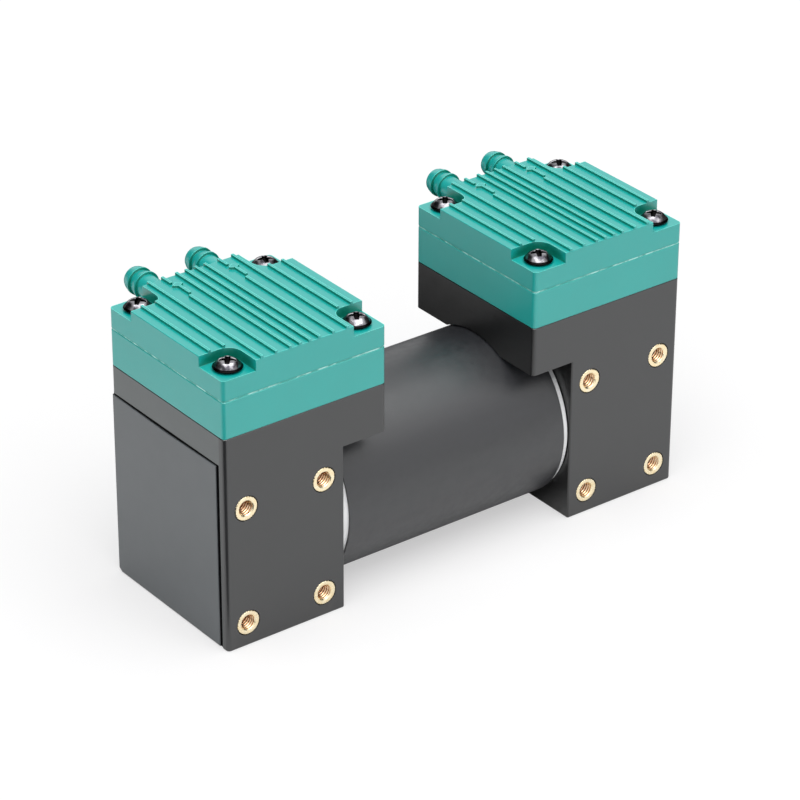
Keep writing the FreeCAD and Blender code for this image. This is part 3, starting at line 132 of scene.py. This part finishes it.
def light_studio():
    """One large softbox above and a little towards the camera, in a pale room that the
    camera sees white. Reflections see it white too, apart from a dark end behind the pump
    and one to its right, where the cosine of the angle to the end's middle is high."""
    dark_ends = ((-0.565, 0.807, 0.17), (0.996, -0.087, 0.0))
    edge_cosine, core_cosine, core_level = 0.66, 0.82, 0.06
    room_level = 0.42
    add_softbox("top_softbox", (-0.06, -0.22, 0.80), (0, 0, 0.03), 0.95, 7.6)
    world = bpy.data.worlds.new("pale_room")
    bpy.context.scene.world = world
    world.use_nodes = True
    tree = world.node_tree
    tree.nodes.clear()
    path = add_node(tree, "ShaderNodeLightPath").outputs
    direction = add_node(tree, "ShaderNodeTexCoord").outputs["Generated"]
    ends = [spread(tree, dot_product(tree, direction, end),
                   edge_cosine, core_cosine, 1.0, core_level) for end in dark_ends]
    seen_level = combine(tree, "MAXIMUM", path["Is Camera Ray"],
                         combine(tree, "MULTIPLY", *ends))
    seen_share = combine(tree, "MAXIMUM", path["Is Camera Ray"], path["Is Glossy Ray"])
    room = add_node(tree, "ShaderNodeBackground", {"Color": WHITE, "Strength": room_level})
    seen = add_node(tree, "ShaderNodeBackground", {"Color": WHITE, "Strength": seen_level})
    surface = mix_shaders(tree, seen_share, room.outputs[0], seen.outputs[0])
    add_node(tree, "ShaderNodeOutputWorld", {"Surface": surface})


def floor_quarter(tree, axes, x, y):
    """1 on the floor's quarter beyond a corner point, and 0 elsewhere. The quarter lies on
    the side where each coordinate is greater, for a (value, sign) pair with sign 1, or
    smaller, with sign -1."""
    fade = 0.01
    sides = [spread(tree, axes[axis], value, value + sign * fade)
             for axis, (value, sign) in zip("XY", (x, y))]
    return combine(tree, "MULTIPLY", *sides)


def lay_floor():
    """A white floor. Half of what the camera sees of it glows near the pump, and all of it
    far away, which keeps it pale and leaves the pump's shadow soft. Reflections find it
    dark in two places, behind the pump and off its near corner, like the unlit ends of a
    studio table."""
    half = 3.0
    near, far, near_share = 0.11, 0.26, 0.5
    behind, off_corner = ((-0.062, 1), (0.0, 1)), ((-0.066, -1), (-0.028, -1))
    matt_level, dark_level = 0.88, 0.05
    mesh = bpy.data.meshes.new("studio_floor")
    mesh.from_pydata([(-half, -half, 0), (half, -half, 0), (half, half, 0), (-half, half, 0)],
                     [], [(0, 1, 2, 3)])
    floor = bpy.data.objects.new("studio_floor", mesh)
    bpy.context.scene.collection.objects.link(floor)
    material = bpy.data.materials.new("studio_white")
    material.use_nodes = True
    tree = material.node_tree
    tree.nodes.clear()
    path = add_node(tree, "ShaderNodeLightPath").outputs
    place = add_node(tree, "ShaderNodeTexCoord").outputs["Object"]
    away = add_node(tree, "ShaderNodeVectorMath", {0: place}, operation="LENGTH").outputs["Value"]
    axes = split(tree, place)
    unlit = combine(tree, "MAXIMUM", floor_quarter(tree, axes, *behind),
                    floor_quarter(tree, axes, *off_corner))
    matt, dark = [add_node(tree, "ShaderNodeBsdfDiffuse",
                           {"Color": (level, level, level, 1)}).outputs[0]
                  for level in (matt_level, dark_level)]
    lit = mix_shaders(tree, combine(tree, "MULTIPLY", unlit, path["Is Glossy Ray"]), matt, dark)
    glow = add_node(tree, "ShaderNodeEmission", {"Color": (1.0, 0.995, 1.0, 1), "Strength": 1.05})
    share = combine(tree, "MULTIPLY", path["Is Camera Ray"],
                    spread(tree, away, near, far, near_share))
    surface = mix_shaders(tree, share, lit, glow.outputs[0])
    add_node(tree, "ShaderNodeOutputMaterial", {"Surface": surface})
    mesh.materials.append(material)


# Finishes

def linear(red, green, blue):
    """Turns screen values from 0 to 255 into the linear values that shaders use."""
    def one(value):
        value /= 255.0
        return value / 12.92 if value <= 0.04045 else ((value + 0.055) / 1.055) ** 2.4
    return (one(red), one(green), one(blue), 1.0)


def shaded(tone, factor, lift=0.0):
    """A colour times a factor, plus a lift."""
    return tuple(min(1.0, factor * part + lift) for part in tone[:3]) + (1.0,)


class Finish:
    """A material with one principled shader, fed by patterns in object coordinates."""

    def __init__(self, name, roughness, metallic=0.0, specular=0.5):
        self.material = bpy.data.materials.new(name)
        self.material.use_nodes = True
        self.tree = self.material.node_tree
        self.shader = self.tree.nodes["Principled BSDF"]
        self.shader.inputs["Roughness"].default_value = roughness
        self.shader.inputs["Metallic"].default_value = metallic
        self.shader.inputs["Specular IOR Level"].default_value = specular
        self.place = self.add("ShaderNodeTexCoord").outputs["Object"]

    def add(self, kind, inputs=None, **settings):
        return add_node(self.tree, kind, inputs, **settings)

    def link(self, source, target):
        self.tree.links.new(source, target)

    def mapped(self, **changes):
        """Object coordinates, moved or scaled."""
        return self.add("ShaderNodeMapping", {"Vector": self.place, **changes}).outputs["Vector"]

    def about_motor(self):
        """Object coordinates that start on the motor's axis."""
        return self.mapped(Location=(0.0, 0.0054, -0.02195))

    def noise(self, scale, detail=2.0, place=None):
        return self.add("ShaderNodeTexNoise", {"Scale": scale, "Detail": detail,
                                               "Vector": place or self.place}).outputs["Fac"]

    def wave(self, shape, scale, place, distortion=0.0):
        """A wave in BANDS along X, or in RINGS about it."""
        return self.add("ShaderNodeTexWave",
                        {"Scale": scale, "Distortion": distortion, "Vector": place},
                        wave_type=shape, bands_direction="X", rings_direction="X").outputs["Fac"]

    def ramp(self, value, stops):
        """Turns a value into a colour by two stops of (position, colour)."""
        node = self.add("ShaderNodeValToRGB", {"Fac": value})
        for end, (position, colour) in zip(node.color_ramp.elements, stops):
            end.position = position
            end.color = colour
        return node.outputs["Color"]

    def levels(self, value, low, high, start=0.3, end=0.7):
        """Spreads the middle of a pattern over the levels from low to high."""
        return spread(self.tree, value, start, end, low, high)

    def mix(self, factor, first, second):
        """Mixes two colours, each a socket or a constant, by a factor."""
        return self.add("ShaderNodeMix", {"Factor": factor, 6: first, 7: second},
                        data_type="RGBA").outputs[2]

    def product(self, first, second):
        return combine(self.tree, "MULTIPLY", first, second)

    def size_of(self, value):
        """A value without its sign."""
        return self.add("ShaderNodeMath", {0: value}, operation="ABSOLUTE").outputs[0]

    def axes(self, vector):
        return split(self.tree, vector)

    def normal(self):
        return self.add("ShaderNodeNewGeometry").outputs["Normal"]

    def rounded_normal(self, radius, samples):
        """The normal that the surface would have with its edges rounded."""
        return self.add("ShaderNodeBevel", {"Radius": radius}, samples=samples).outputs["Normal"]

    def openness(self, distance):
        """1 where nothing stands within a distance of the surface, and less in recesses."""
        return self.add("ShaderNodeAmbientOcclusion", {"Distance": distance},
                        samples=6).outputs["AO"]

    def edges(self, radius=0.3 * MM, reach=0.6 * MM):
        """1 on upward faces near open sharp edges and 0 elsewhere: how far a rounded normal
        turns away, where the face looks up and nothing close stands over it."""
        plain = self.normal()
        turn = dot_product(self.tree, self.rounded_normal(radius, 6), plain)
        turned = self.levels(turn, 1.0, 0.0, start=0.90, end=0.998)
        upward = self.levels(self.axes(plain)["Z"], 0.0, 1.0, start=0.5, end=0.9)
        free = self.levels(self.openness(reach), 0.0, 1.0, start=0.75, end=0.95)
        return self.product(self.product(turned, upward), free)

    def recesses(self, axis, reach=3.0 * MM):
        """1 on sheltered walls that don't face along an axis, such as the sides of ribs."""
        along = self.size_of(self.axes(self.normal())[axis])
        return self.product(self.levels(along, 1.0, 0.0, start=0.3, end=0.6),
                            self.levels(self.openness(reach), 1.0, 0.0, start=0.62, end=0.85))

    def inner_faces(self):
        """1 on faces that look towards the pump's middle along its length."""
        outward = self.product(self.axes(self.normal())["X"], self.axes(self.place)["X"])
        return self.levels(outward, 1.0, 0.0, start=-0.015, end=-0.005)

    def end_faces(self):
        """1 on the faces at the pump's two ends, but not on the narrow strip at their front."""
        axes = self.axes(self.place)
        return self.product(self.levels(self.size_of(axes["X"]), 0.0, 1.0, 0.0642, 0.06455),
                            self.levels(axes["Y"], 0.0, 1.0, -0.0256, -0.0252))

    def polish(self):
        """The first coordinate of the mesh's own map of painted shade, 1 where none is painted."""
        return self.axes(self.add("ShaderNodeUVMap", uv_map="polish").outputs["UV"])["X"]

    def colour(self, source):
        self.link(source, self.shader.inputs["Base Color"])

    def gloss(self, source):
        self.link(source, self.shader.inputs["Roughness"])

    def relief(self, height, depth, strength, bevel=None):
        """Bump from a height pattern, over edges softened by a bevel radius."""
        inputs = {"Height": height, "Distance": depth, "Strength": strength}
        if bevel:
            inputs["Normal"] = self.rounded_normal(bevel, 4)
        self.link(self.add("ShaderNodeBump", inputs).outputs["Normal"],
                  self.shader.inputs["Normal"])


def moulded_plastic(name, tone, edge_highlight_tone, roughness, end_light_tone=None, inner_shade_tone=None,
                    recess_shade_tone=None, recess_axis="Z"):
    """Moulded plastic: fine die grain, faint flow clouds and a painted highlight on upward
    edges. Where more tones are given, they are painted: light on the faces at the pump's two
    ends, and shade on the faces towards its middle and on the sheltered walls."""
    grain, bevel = 0.008 * MM, 0.12 * MM
    finish = Finish(name, roughness, specular=1.0)
    clouds = finish.levels(finish.noise(70.0, 3.0), 0.0, 1.0)
    body = finish.mix(clouds, shaded(tone, 0.95), tone)
    # painted light: the faces at the pump's two ends are lightened to the end tone
    if end_light_tone:
        body = finish.mix(finish.end_faces(), body, end_light_tone)
    # painted shade: the faces towards the pump's middle are darkened to the inner tone
    if inner_shade_tone:
        body = finish.mix(finish.inner_faces(), body, inner_shade_tone)
    # painted shade: sheltered walls, such as the sides of ribs, pocket walls and the panel's gap,
    # are darkened to the recess tone
    if recess_shade_tone:
        body = finish.mix(finish.recesses(recess_axis), body, recess_shade_tone)
    # painted highlight: upward faces near open sharp edges are lightened towards the edge tone
    finish.colour(finish.mix(finish.edges(), body, edge_highlight_tone))
    finish.gloss(finish.levels(finish.noise(240.0), roughness - 0.02, roughness + 0.03))
    finish.relief(finish.noise(4200.0), grain, 0.5, bevel)
    return finish.material


def turned_metal(name, tone, roughness, pitch, metallic=1.0):
    """Turned metal: fine rings about the motor's axis and cloudy gloss."""
    finish = Finish(name, roughness, metallic=metallic)
    clouds = finish.levels(finish.noise(160.0, 3.0), 0.0, 1.0)
    finish.colour(finish.mix(clouds, shaded(tone, 0.86), tone))
    finish.gloss(finish.levels(finish.noise(500.0), roughness - 0.06, roughness + 0.08))
    finish.relief(finish.wave("RINGS", pitch, finish.about_motor(), 0.6), 0.004 * MM, 0.4)
    return finish.material


def plated_metal(name, tone, roughness, coat=0.0):
    """Plated fastener metal with a faint mottle, and a lacquer coat where one is given."""
    finish = Finish(name, roughness, metallic=1.0)
    mottle = finish.levels(finish.noise(1400.0, 3.0), 0.0, 1.0)
    finish.colour(finish.mix(mottle, shaded(tone, 0.75), tone))
    finish.gloss(finish.levels(finish.noise(800.0), roughness - 0.04, roughness + 0.08))
    finish.relief(finish.noise(2600.0), 0.006 * MM, 0.4)
    finish.shader.inputs["Coat Weight"].default_value = coat
    finish.shader.inputs["Coat Roughness"].default_value = 0.08
    return finish.material


def screw_finish():
    """Black nickel with a mottled dome and painted shade, near black in the cross and round the
    rim under the head. The mesh's own map holds 1 where no shade is painted, as its first
    coordinate."""
    finish = Finish("black_nickel_head", 0.2, metallic=1.0)
    mottle = finish.levels(finish.noise(620.0, 4.0), 0.0, 1.0, start=0.38, end=0.62)
    dome = finish.mix(mottle, linear(70, 68, 74), linear(166, 164, 168))
    # painted shade: near black where the map is low, in the cross and round the rim under the head
    finish.colour(finish.mix(finish.polish(), linear(14, 13, 14), dome))
    finish.gloss(finish.levels(finish.noise(800.0), 0.14, 0.26))
    finish.relief(finish.noise(1300.0), 0.02 * MM, 0.6)
    return finish.material


def soft_rubber(name, tone, roughness):
    """Matt elastomer with a dusty bloom."""
    finish = Finish(name, roughness, specular=0.05)
    bloom = finish.levels(finish.noise(300.0, 4.0), 0.0, 0.6)
    finish.colour(finish.mix(bloom, tone, shaded(tone, 1.5, 0.002)))
    finish.relief(finish.noise(2500.0), 0.01 * MM, 0.5)
    return finish.material


def sleeve_finish():
    """Satin black film shrunk over the can: long faint draws along the motor and grain."""
    finish = Finish("satin_sleeve", 0.42, specular=1.0)
    lengthwise = finish.mapped(Scale=(0.25, 3.0, 3.0))
    draws = finish.levels(finish.noise(55.0, 3.0, lengthwise), 0.0, 1.0)
    finish.colour(finish.mix(draws, linear(31, 32, 36), linear(38, 39, 43)))
    finish.gloss(finish.levels(finish.noise(500.0, 3.0), 0.38, 0.48))
    finish.relief(finish.noise(3000.0), 0.012 * MM, 0.5)
    return finish.material


def gasket_finish():
    """Translucent gasket sheet whose cut edge shows pale and broken."""
    finish = Finish("gasket_sheet", 0.5, specular=0.4)
    flecks = finish.levels(finish.noise(420.0, 3.0), 0.0, 1.0, start=0.42, end=0.6)
    finish.colour(finish.mix(flecks, linear(84, 182, 170), linear(190, 244, 236)))
    finish.relief(finish.noise(1800.0), 0.02 * MM, 0.5)
    return finish.material


def lamination_finish():
    """Stacked electrical sheet: thin bands across the motor's axis."""
    finish = Finish("lamination_stack", 0.4, metallic=1.0)
    bands = finish.wave("BANDS", 320.0, finish.place)
    finish.colour(finish.ramp(bands, ((0.0, linear(70, 72, 76)), (0.4, linear(150, 152, 156)))))
    finish.relief(bands, 0.02 * MM, 0.6)
    return finish.material


def coil_finish():
    """Enamelled wire: close turns that run along the coils' sides."""
    finish = Finish("enamelled_wire", 0.28, metallic=1.0)
    turns = finish.wave("RINGS", 900.0, finish.about_motor())
    finish.colour(finish.ramp(turns, ((0.0, linear(90, 40, 20)), (0.6, linear(205, 120, 70)))))
    finish.relief(turns, 0.05 * MM, 0.8)
    return finish.material


def board_finish():
    """Solder mask with copper traces showing faintly through it."""
    finish = Finish("solder_mask", 0.3)
    traces = finish.add("ShaderNodeTexVoronoi", {"Scale": 450.0, "Vector": finish.place},
                        feature="DISTANCE_TO_EDGE", distance="MANHATTAN")
    finish.colour(finish.ramp(traces.outputs["Distance"],
                              ((0.06, linear(40, 120, 70)), (0.12, linear(18, 78, 45)))))
    return finish.material


def brass_finish():
    """Bright machined brass with cloudy gloss, and painted shade that turns it brown in the
    thread roots and down the hole. The mesh's own map is 1 on the faces and thread crests, where
    no shade is painted."""
    finish = Finish("machined_brass", 0.22, metallic=1.0)
    clouds = finish.levels(finish.noise(700.0, 3.0), 0.0, 1.0)
    bright = finish.mix(clouds, linear(255, 232, 186), linear(255, 244, 214))
    # painted shade: brown where the map is low, in the thread roots and down the hole
    finish.colour(finish.mix(finish.polish(), linear(186, 112, 66), bright))
    finish.gloss(finish.levels(finish.noise(1500.0), 0.2, 0.34))
    finish.relief(finish.noise(3500.0), 0.004 * MM, 0.4)
    return finish.material


# Screws and inserts

def angles_round(around):
    """Even angles of one turn, as a column."""
    return (np.arange(around) / around * TURN)[:, None]


def about_z(radii, heights):
    """Points of a surface about Z, (r cos a, r sin a, h), from its radii and heights over
    (angle, station)."""
    angle = angles_round(len(radii))
    return np.stack([radii * np.cos(angle), radii * np.sin(angle),
                     np.broadcast_to(heights, radii.shape)], -1)


def triangle_wave(phase):
    """1 at whole turns of the phase, 0 half way between them, and straight from one to the
    other."""
    return np.abs((phase % 1.0) - 0.5) * 2


def closed_tube(radii):
    """Quads between neighbours of a surface of revolution, whose radius is an array over
    (angle, station). They look outwards where the stations run down the axis."""
    around, along = radii.shape
    first = np.arange(around)[:, None] * along + np.arange(along - 1)[None, :]
    following = ((np.arange(around)[:, None] + 1) % around) * along + np.arange(along - 1)[None, :]
    return np.stack([first, first + 1, following + 1, following], -1).reshape(-1, 4)


def mesh_object(name, points, faces, material, polish):
    """A smooth mesh from points and quads. Each point's value of painted shade, 1 where none is
    painted, goes into the mesh's own map as the first coordinate."""
    mesh = bpy.data.meshes.new(name)
    mesh.from_pydata(points.tolist(), [], faces.tolist())
    mesh.materials.append(material)
    mesh.polygons.foreach_set("use_smooth", np.full(len(mesh.polygons), True))
    corners = polish[faces.reshape(-1)]
    layer = mesh.uv_layers.new(name="polish")
    layer.data.foreach_set("uv", np.stack([corners, corners], -1).reshape(-1))
    mesh.update()
    piece = bpy.data.objects.new(name, mesh)
    bpy.context.scene.collection.objects.link(piece)
    return piece


def stations(profile, steps):
    """Points along a profile: each run between two corners is divided into equal steps."""
    runs = []
    for (start, end), count in zip(zip(profile[:-1], profile[1:]), steps):
        share = np.arange(count)[:, None] / count
        runs.append(np.array(start) + share * (np.array(end) - np.array(start)))
    runs.append(np.array([profile[-1]]))
    return np.concatenate(runs)


def cross_recess(x, y, depth, reach, width):
    """Depth of a cross recess at a point: four wings whose floors rise outwards in a
    straight line, with walls that lean. A wing's depth is the lesser of its floor's depth
    and of how far inside its wall the point is, times the wall's slope, and the cross
    takes the deepest wing."""
    rise, narrowing, end_slope, side_slope = 0.55, 0.45, 5.0, 6.0
    deepest = np.zeros_like(x)
    for along, across in ((x, y), (y, x)):
        floor = depth * (1.0 - rise * np.abs(along) / reach)
        end = (reach - np.abs(along)) * end_slope
        wall = (width * (1.0 - narrowing * np.abs(along) / reach) - np.abs(across)) * side_slope
        deepest = np.maximum(deepest, np.clip(np.minimum(np.minimum(floor, end), wall), 0, None))
    return deepest


def screw_shank(radius, length, pitch):
    """The threaded shank about Z, from just inside the head down to its point. Its radius
    is less by a depth times a triangle wave of (height / pitch - angle / one turn), which
    is the thread."""
    around, rows, depth = 40, 190, 0.26 * MM
    heights = np.concatenate([[0.3 * MM, 0.3 * MM, -0.3 * MM],
                              np.linspace(-0.4 * MM, -length + 0.6 * MM, rows),
                              [-length, -length]])
    radii = np.full((around, len(heights)), radius)
    wave = triangle_wave(heights / pitch - angles_round(around) / TURN)
    threaded = (heights < -0.35 * MM) & (heights > -length + 0.5 * MM)
    radii -= np.where(threaded, depth * wave, 0.0)
    radii[:, 0] = radii[:, -1] = 1e-6
    radii[:, -2] = 0.6 * radius
    return about_z(radii, heights).reshape(-1, 3), closed_tube(radii)


def pan_screw():
    """One cover screw about Z, its seat at height 0. The head's top is a grid over angle
    and distance from the middle: a pan whose height falls by (distance / reach) ** 3.6,
    less the cross recess. Below it a profile of rim, flange and spring washer is carried
    round the axis and closes under the head. The shank is a shell of its own."""
    around, fall = 144, 3.6
    head_radius, head_height, shank_radius = 3.05 * MM, 2.28 * MM, 1.5 * MM
    flange_radius, flange_foot, flange_height = 3.4 * MM, 0.45 * MM, 0.72 * MM
    washer_radius, screw_length, pitch = 2.6 * MM, 22.0 * MM, 0.5 * MM
    recess_depth, recess_reach, recess_width = 1.5 * MM, 1.85 * MM, 0.78 * MM
    recess_shade_depth = 0.12 * MM
    rim = 0.45 * head_height
    share = np.linspace(0.0, 1.0, 46) ** 0.9
    reach = share * (head_radius - 0.12 * MM)
    radius = np.broadcast_to(reach, (around, len(reach)))
    x, y, dome = np.moveaxis(about_z(radius, head_height - (head_height - rim)
                                     * (radius / reach[-1]) ** fall), -1, 0)
    recess = cross_recess(x, y, recess_depth, recess_reach, recess_width)
    top = np.stack([x, y, dome - recess], -1)
    profile = [(head_radius - 0.03 * MM, rim - 0.12 * MM), (head_radius, rim - 0.2 * MM),
               (head_radius + 0.06 * MM, flange_height + 0.02 * MM),
               (flange_radius - 0.1 * MM, flange_height - 0.04 * MM),
               (flange_radius, flange_height - 0.15 * MM), (flange_radius, flange_foot + 0.1 * MM),
               (flange_radius - 0.12 * MM, flange_foot), (washer_radius, flange_foot),
               (washer_radius, 0.0), (1e-6, 0.0)]
    under = stations(profile, (1, 1, 1, 1, 1, 1, 1, 2, 2))
    radii = np.broadcast_to(under[:, 0], (around, len(under)))
    head = np.concatenate([top, about_z(radii, under[:, 1])], 1)
    # painted shade map: 1 on the head's top, falling to 0 down the cross recess, and 0 on the rim,
    # flange and washer
    polish = np.zeros(head.shape[:2])
    polish[:, :len(share)] = np.clip(1 - recess / recess_shade_depth, 0, 1)
    head_faces = closed_tube(head[..., 0])
    head = head.reshape(-1, 3)
    shank, shank_faces = screw_shank(shank_radius, screw_length, pitch)
    return (np.concatenate([head, shank]), np.concatenate([head_faces, shank_faces + len(head)]),
            np.concatenate([polish.reshape(-1), np.zeros(len(shank))]))


def threaded_insert():
    """One insert about Y, its face at 0 and its body at positive Y. A closed profile is
    carried round the axis: knurled barrel, bevelled rim, flat face, bevelled mouth and
    thread. The barrel's radius is less by a depth times a triangle wave of 26 teeth round
    the axis, in two bands that lean opposite ways, and the thread's radius is more by one
    of (depth / pitch - angle / one turn)."""
    around, rows, teeth = 104, 84, 26
    outer, bore, length, pitch = 3.05 * MM, 1.65 * MM, 6.0 * MM, 0.7 * MM
    tooth_depth, thread_depth, turn_back, hole_shade_reach = 0.22 * MM, 0.34 * MM, 3.1 * MM, 4.5 * MM
    angle = angles_round(around)
    barrel = stations([(outer, length - 0.3 * MM), (outer, 4.1 * MM), (outer - 0.4 * MM, 3.9 * MM),
                       (outer - 0.4 * MM, 2.3 * MM), (outer, 2.1 * MM), (outer, 0.22 * MM)],
                      (6, 1, 1, 1, 8))
    face = stations([(outer - 0.2 * MM, 0.0), (bore + 0.38 * MM, 0.0),
                     (bore + 0.05 * MM, 0.3 * MM)], (3, 3))
    inner = np.stack([np.full(rows, bore), np.linspace(0.35 * MM, length - 0.1 * MM, rows)], -1)
    back = np.array([[bore + 0.2 * MM, length], [outer - 0.25 * MM, length]])
    profile = np.concatenate([barrel, face, inner, back, barrel[:1]])
    radii = np.broadcast_to(profile[:, 0], (around, len(profile))).copy()
    depths = np.broadcast_to(profile[:, 1], (around, len(profile)))
    lean = np.where(depths < turn_back, 1.0, -1.0) * depths / (9.0 * MM)
    tooth = triangle_wave(teeth * angle / TURN + teeth * lean / TURN)
    knurled = profile[:, 0] > outer - 0.01 * MM
    radii -= np.where(knurled, tooth_depth * tooth, 0.0)
    wave = triangle_wave(depths / pitch - angle / TURN)
    station = np.arange(len(profile)) - len(barrel) - len(face)
    threaded = (station >= 0) & (station < rows)
    radii += np.where(threaded, thread_depth * wave, 0.0)
    points = np.stack([radii * np.cos(angle), depths, radii * np.sin(angle)], -1)
    # painted shade map: 0 at the thread roots, and falling with depth down the hole
    unshaded_thread = np.clip(1.3 - 1.6 * wave, 0, 1) * np.clip(1.3 - depths / hole_shade_reach, 0, 1)
    polish = np.where(threaded, unshaded_thread, 1.0)
    return points.reshape(-1, 3), closed_tube(radii)[:, ::-1], polish.reshape(-1)


def copies(points, faces, places, angles, axis):
    """One mesh of several copies, each turned about its own axis and moved."""
    every, quads = [], []
    for number, (place, angle) in enumerate(zip(places, angles)):
        spin = np.array(Matrix.Rotation(angle, 3, axis))
        every.append(points @ spin.T + np.array(place))
        quads.append(faces + number * len(points))
    return np.concatenate(every), np.concatenate(quads)


def add_screws(side, material):
    """The four screws of a cover, each with its cross at another angle, on the pocket
    floors. Their centres follow the CAD screws' box."""
    node = side + "_cover_screws"
    low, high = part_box(node)
    inset, head_height = 3.5 * MM, 2.5 * MM
    places = [(x, y, high.z - head_height) for x in (low.x + inset, high.x - inset)
              for y in (low.y + inset, high.y - inset)]
    angles = (0.92, 0.80, 0.98, 1.15) if side == "left" else (1.02, 0.90, 0.75, 0.95)
    points, faces, polish = pan_screw()
    points, faces = copies(points, faces, places, angles, "Z")
    piece = mesh_object(side + "_pan_head_screws", points, faces, material,
                        np.tile(polish, len(places)))
    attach(piece, "housing")
    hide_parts(node)


def add_inserts(side, material):
    """The four knurled inserts in a crankcase's front face. Their centres follow the CAD
    inserts' box."""
    node = side + "_threaded_inserts"
    low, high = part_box(node)
    inset = 3.05 * MM
    places = [(x, low.y, z) for x in (low.x + inset, high.x - inset)
              for z in (low.z + inset, high.z - inset)]
    points, faces, polish = threaded_insert()
    points, faces = copies(points, faces, places, (0.3, 1.9, 4.0, 5.2), "Y")
    piece = mesh_object(side + "_knurled_inserts", points, faces, material,
                        np.tile(polish, len(places)))
    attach(piece, "housing")
    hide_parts(node)


# Dressing

def paint(material, *names):
    """Gives CAD nodes a material."""
    for name in names:
        mesh = nodes[name].data
        mesh.materials.clear()
        mesh.materials.append(material)


def both(*stems):
    """The names of both sides' nodes."""
    return ["%s_%s" % (side, stem) for side in SIDES for stem in stems]


def dress():
    """Gives every CAD node its finish and adds the screws and inserts."""
    # Each plastic's second colour is a painted highlight on its upward edges. The case's end tone
    # is painted light and its inner tone is painted shade; the panel's and the teal's recess tones
    # are painted shade.
    case = moulded_plastic("dark_grey_case", linear(33, 34, 36), linear(120, 122, 124), 0.3,
                           end_light_tone=linear(68, 75, 76), inner_shade_tone=linear(5, 5, 6))
    panel = moulded_plastic("grey_panel", linear(70, 76, 80), linear(150, 154, 156), 0.3,
                            recess_shade_tone=linear(4, 4, 5), recess_axis="X")
    teal = moulded_plastic("teal_moulding", linear(8, 169, 162), linear(110, 255, 236), 0.3,
                           recess_shade_tone=linear(0, 126, 104))
    rod = moulded_plastic("filled_plastic", linear(70, 70, 72), linear(90, 90, 92), 0.55)
    rim = turned_metal("turned_aluminium", linear(250, 251, 252), 0.4, 900.0, metallic=0.0)
    steel = turned_metal("turned_steel", linear(180, 181, 184), 0.3, 1100.0)
    can = turned_metal("drawn_steel", linear(170, 171, 175), 0.38, 600.0)
    ground = turned_metal("ground_steel", linear(205, 206, 209), 0.14, 1500.0)
    zinc = plated_metal("zinc_plate", linear(196, 198, 200), 0.3)
    black = plated_metal("black_nickel", linear(72, 68, 70), 0.16, coat=0.6)
    magnet = plated_metal("coated_magnet", linear(88, 88, 92), 0.3)
    rubber = soft_rubber("black_elastomer", linear(5, 5, 6), 0.7)
    paint(case, *both("crankcase"))
    paint(panel, *both("end_panel"))
    paint(teal, *both("valve_plate", "head_cover"))
    paint(rod, *both("connecting_rod"))
    paint(rim, *both("motor_end_cap", "diaphragm_retainer"))
    paint(steel, "motor_shaft", *both("eccentric", "counterweight"))
    paint(can, "motor_can", "rotor_core")
    paint(ground, *both("rod_bearing", "motor_bearing"))
    paint(zinc, *both("motor_screws", "retainer_screw"))
    paint(black, *both("cover_screws", "set_screw"))
    paint(magnet, "rotor_magnets")
    paint(rubber, *both("panel_seal", "outlet_valve_disc", "inlet_valve_disc", "diaphragm"))
    paint(gasket_finish(), *both("valve_gasket"))
    paint(sleeve_finish(), "motor_sleeve")
    paint(lamination_finish(), "stator_core")
    paint(coil_finish(), "stator_windings")
    paint(board_finish(), "driver_board")
    paint(plated_metal("plain_brass", linear(240, 206, 140), 0.3), *both("threaded_inserts"))
    brass = brass_finish()
    heads = screw_finish()
    for side in SIDES:
        add_screws(side, heads)
        add_inserts(side, brass)


bpy.context.scene.view_settings.view_transform = "Standard"
aim_camera()
light_studio()
lay_floor()
dress()
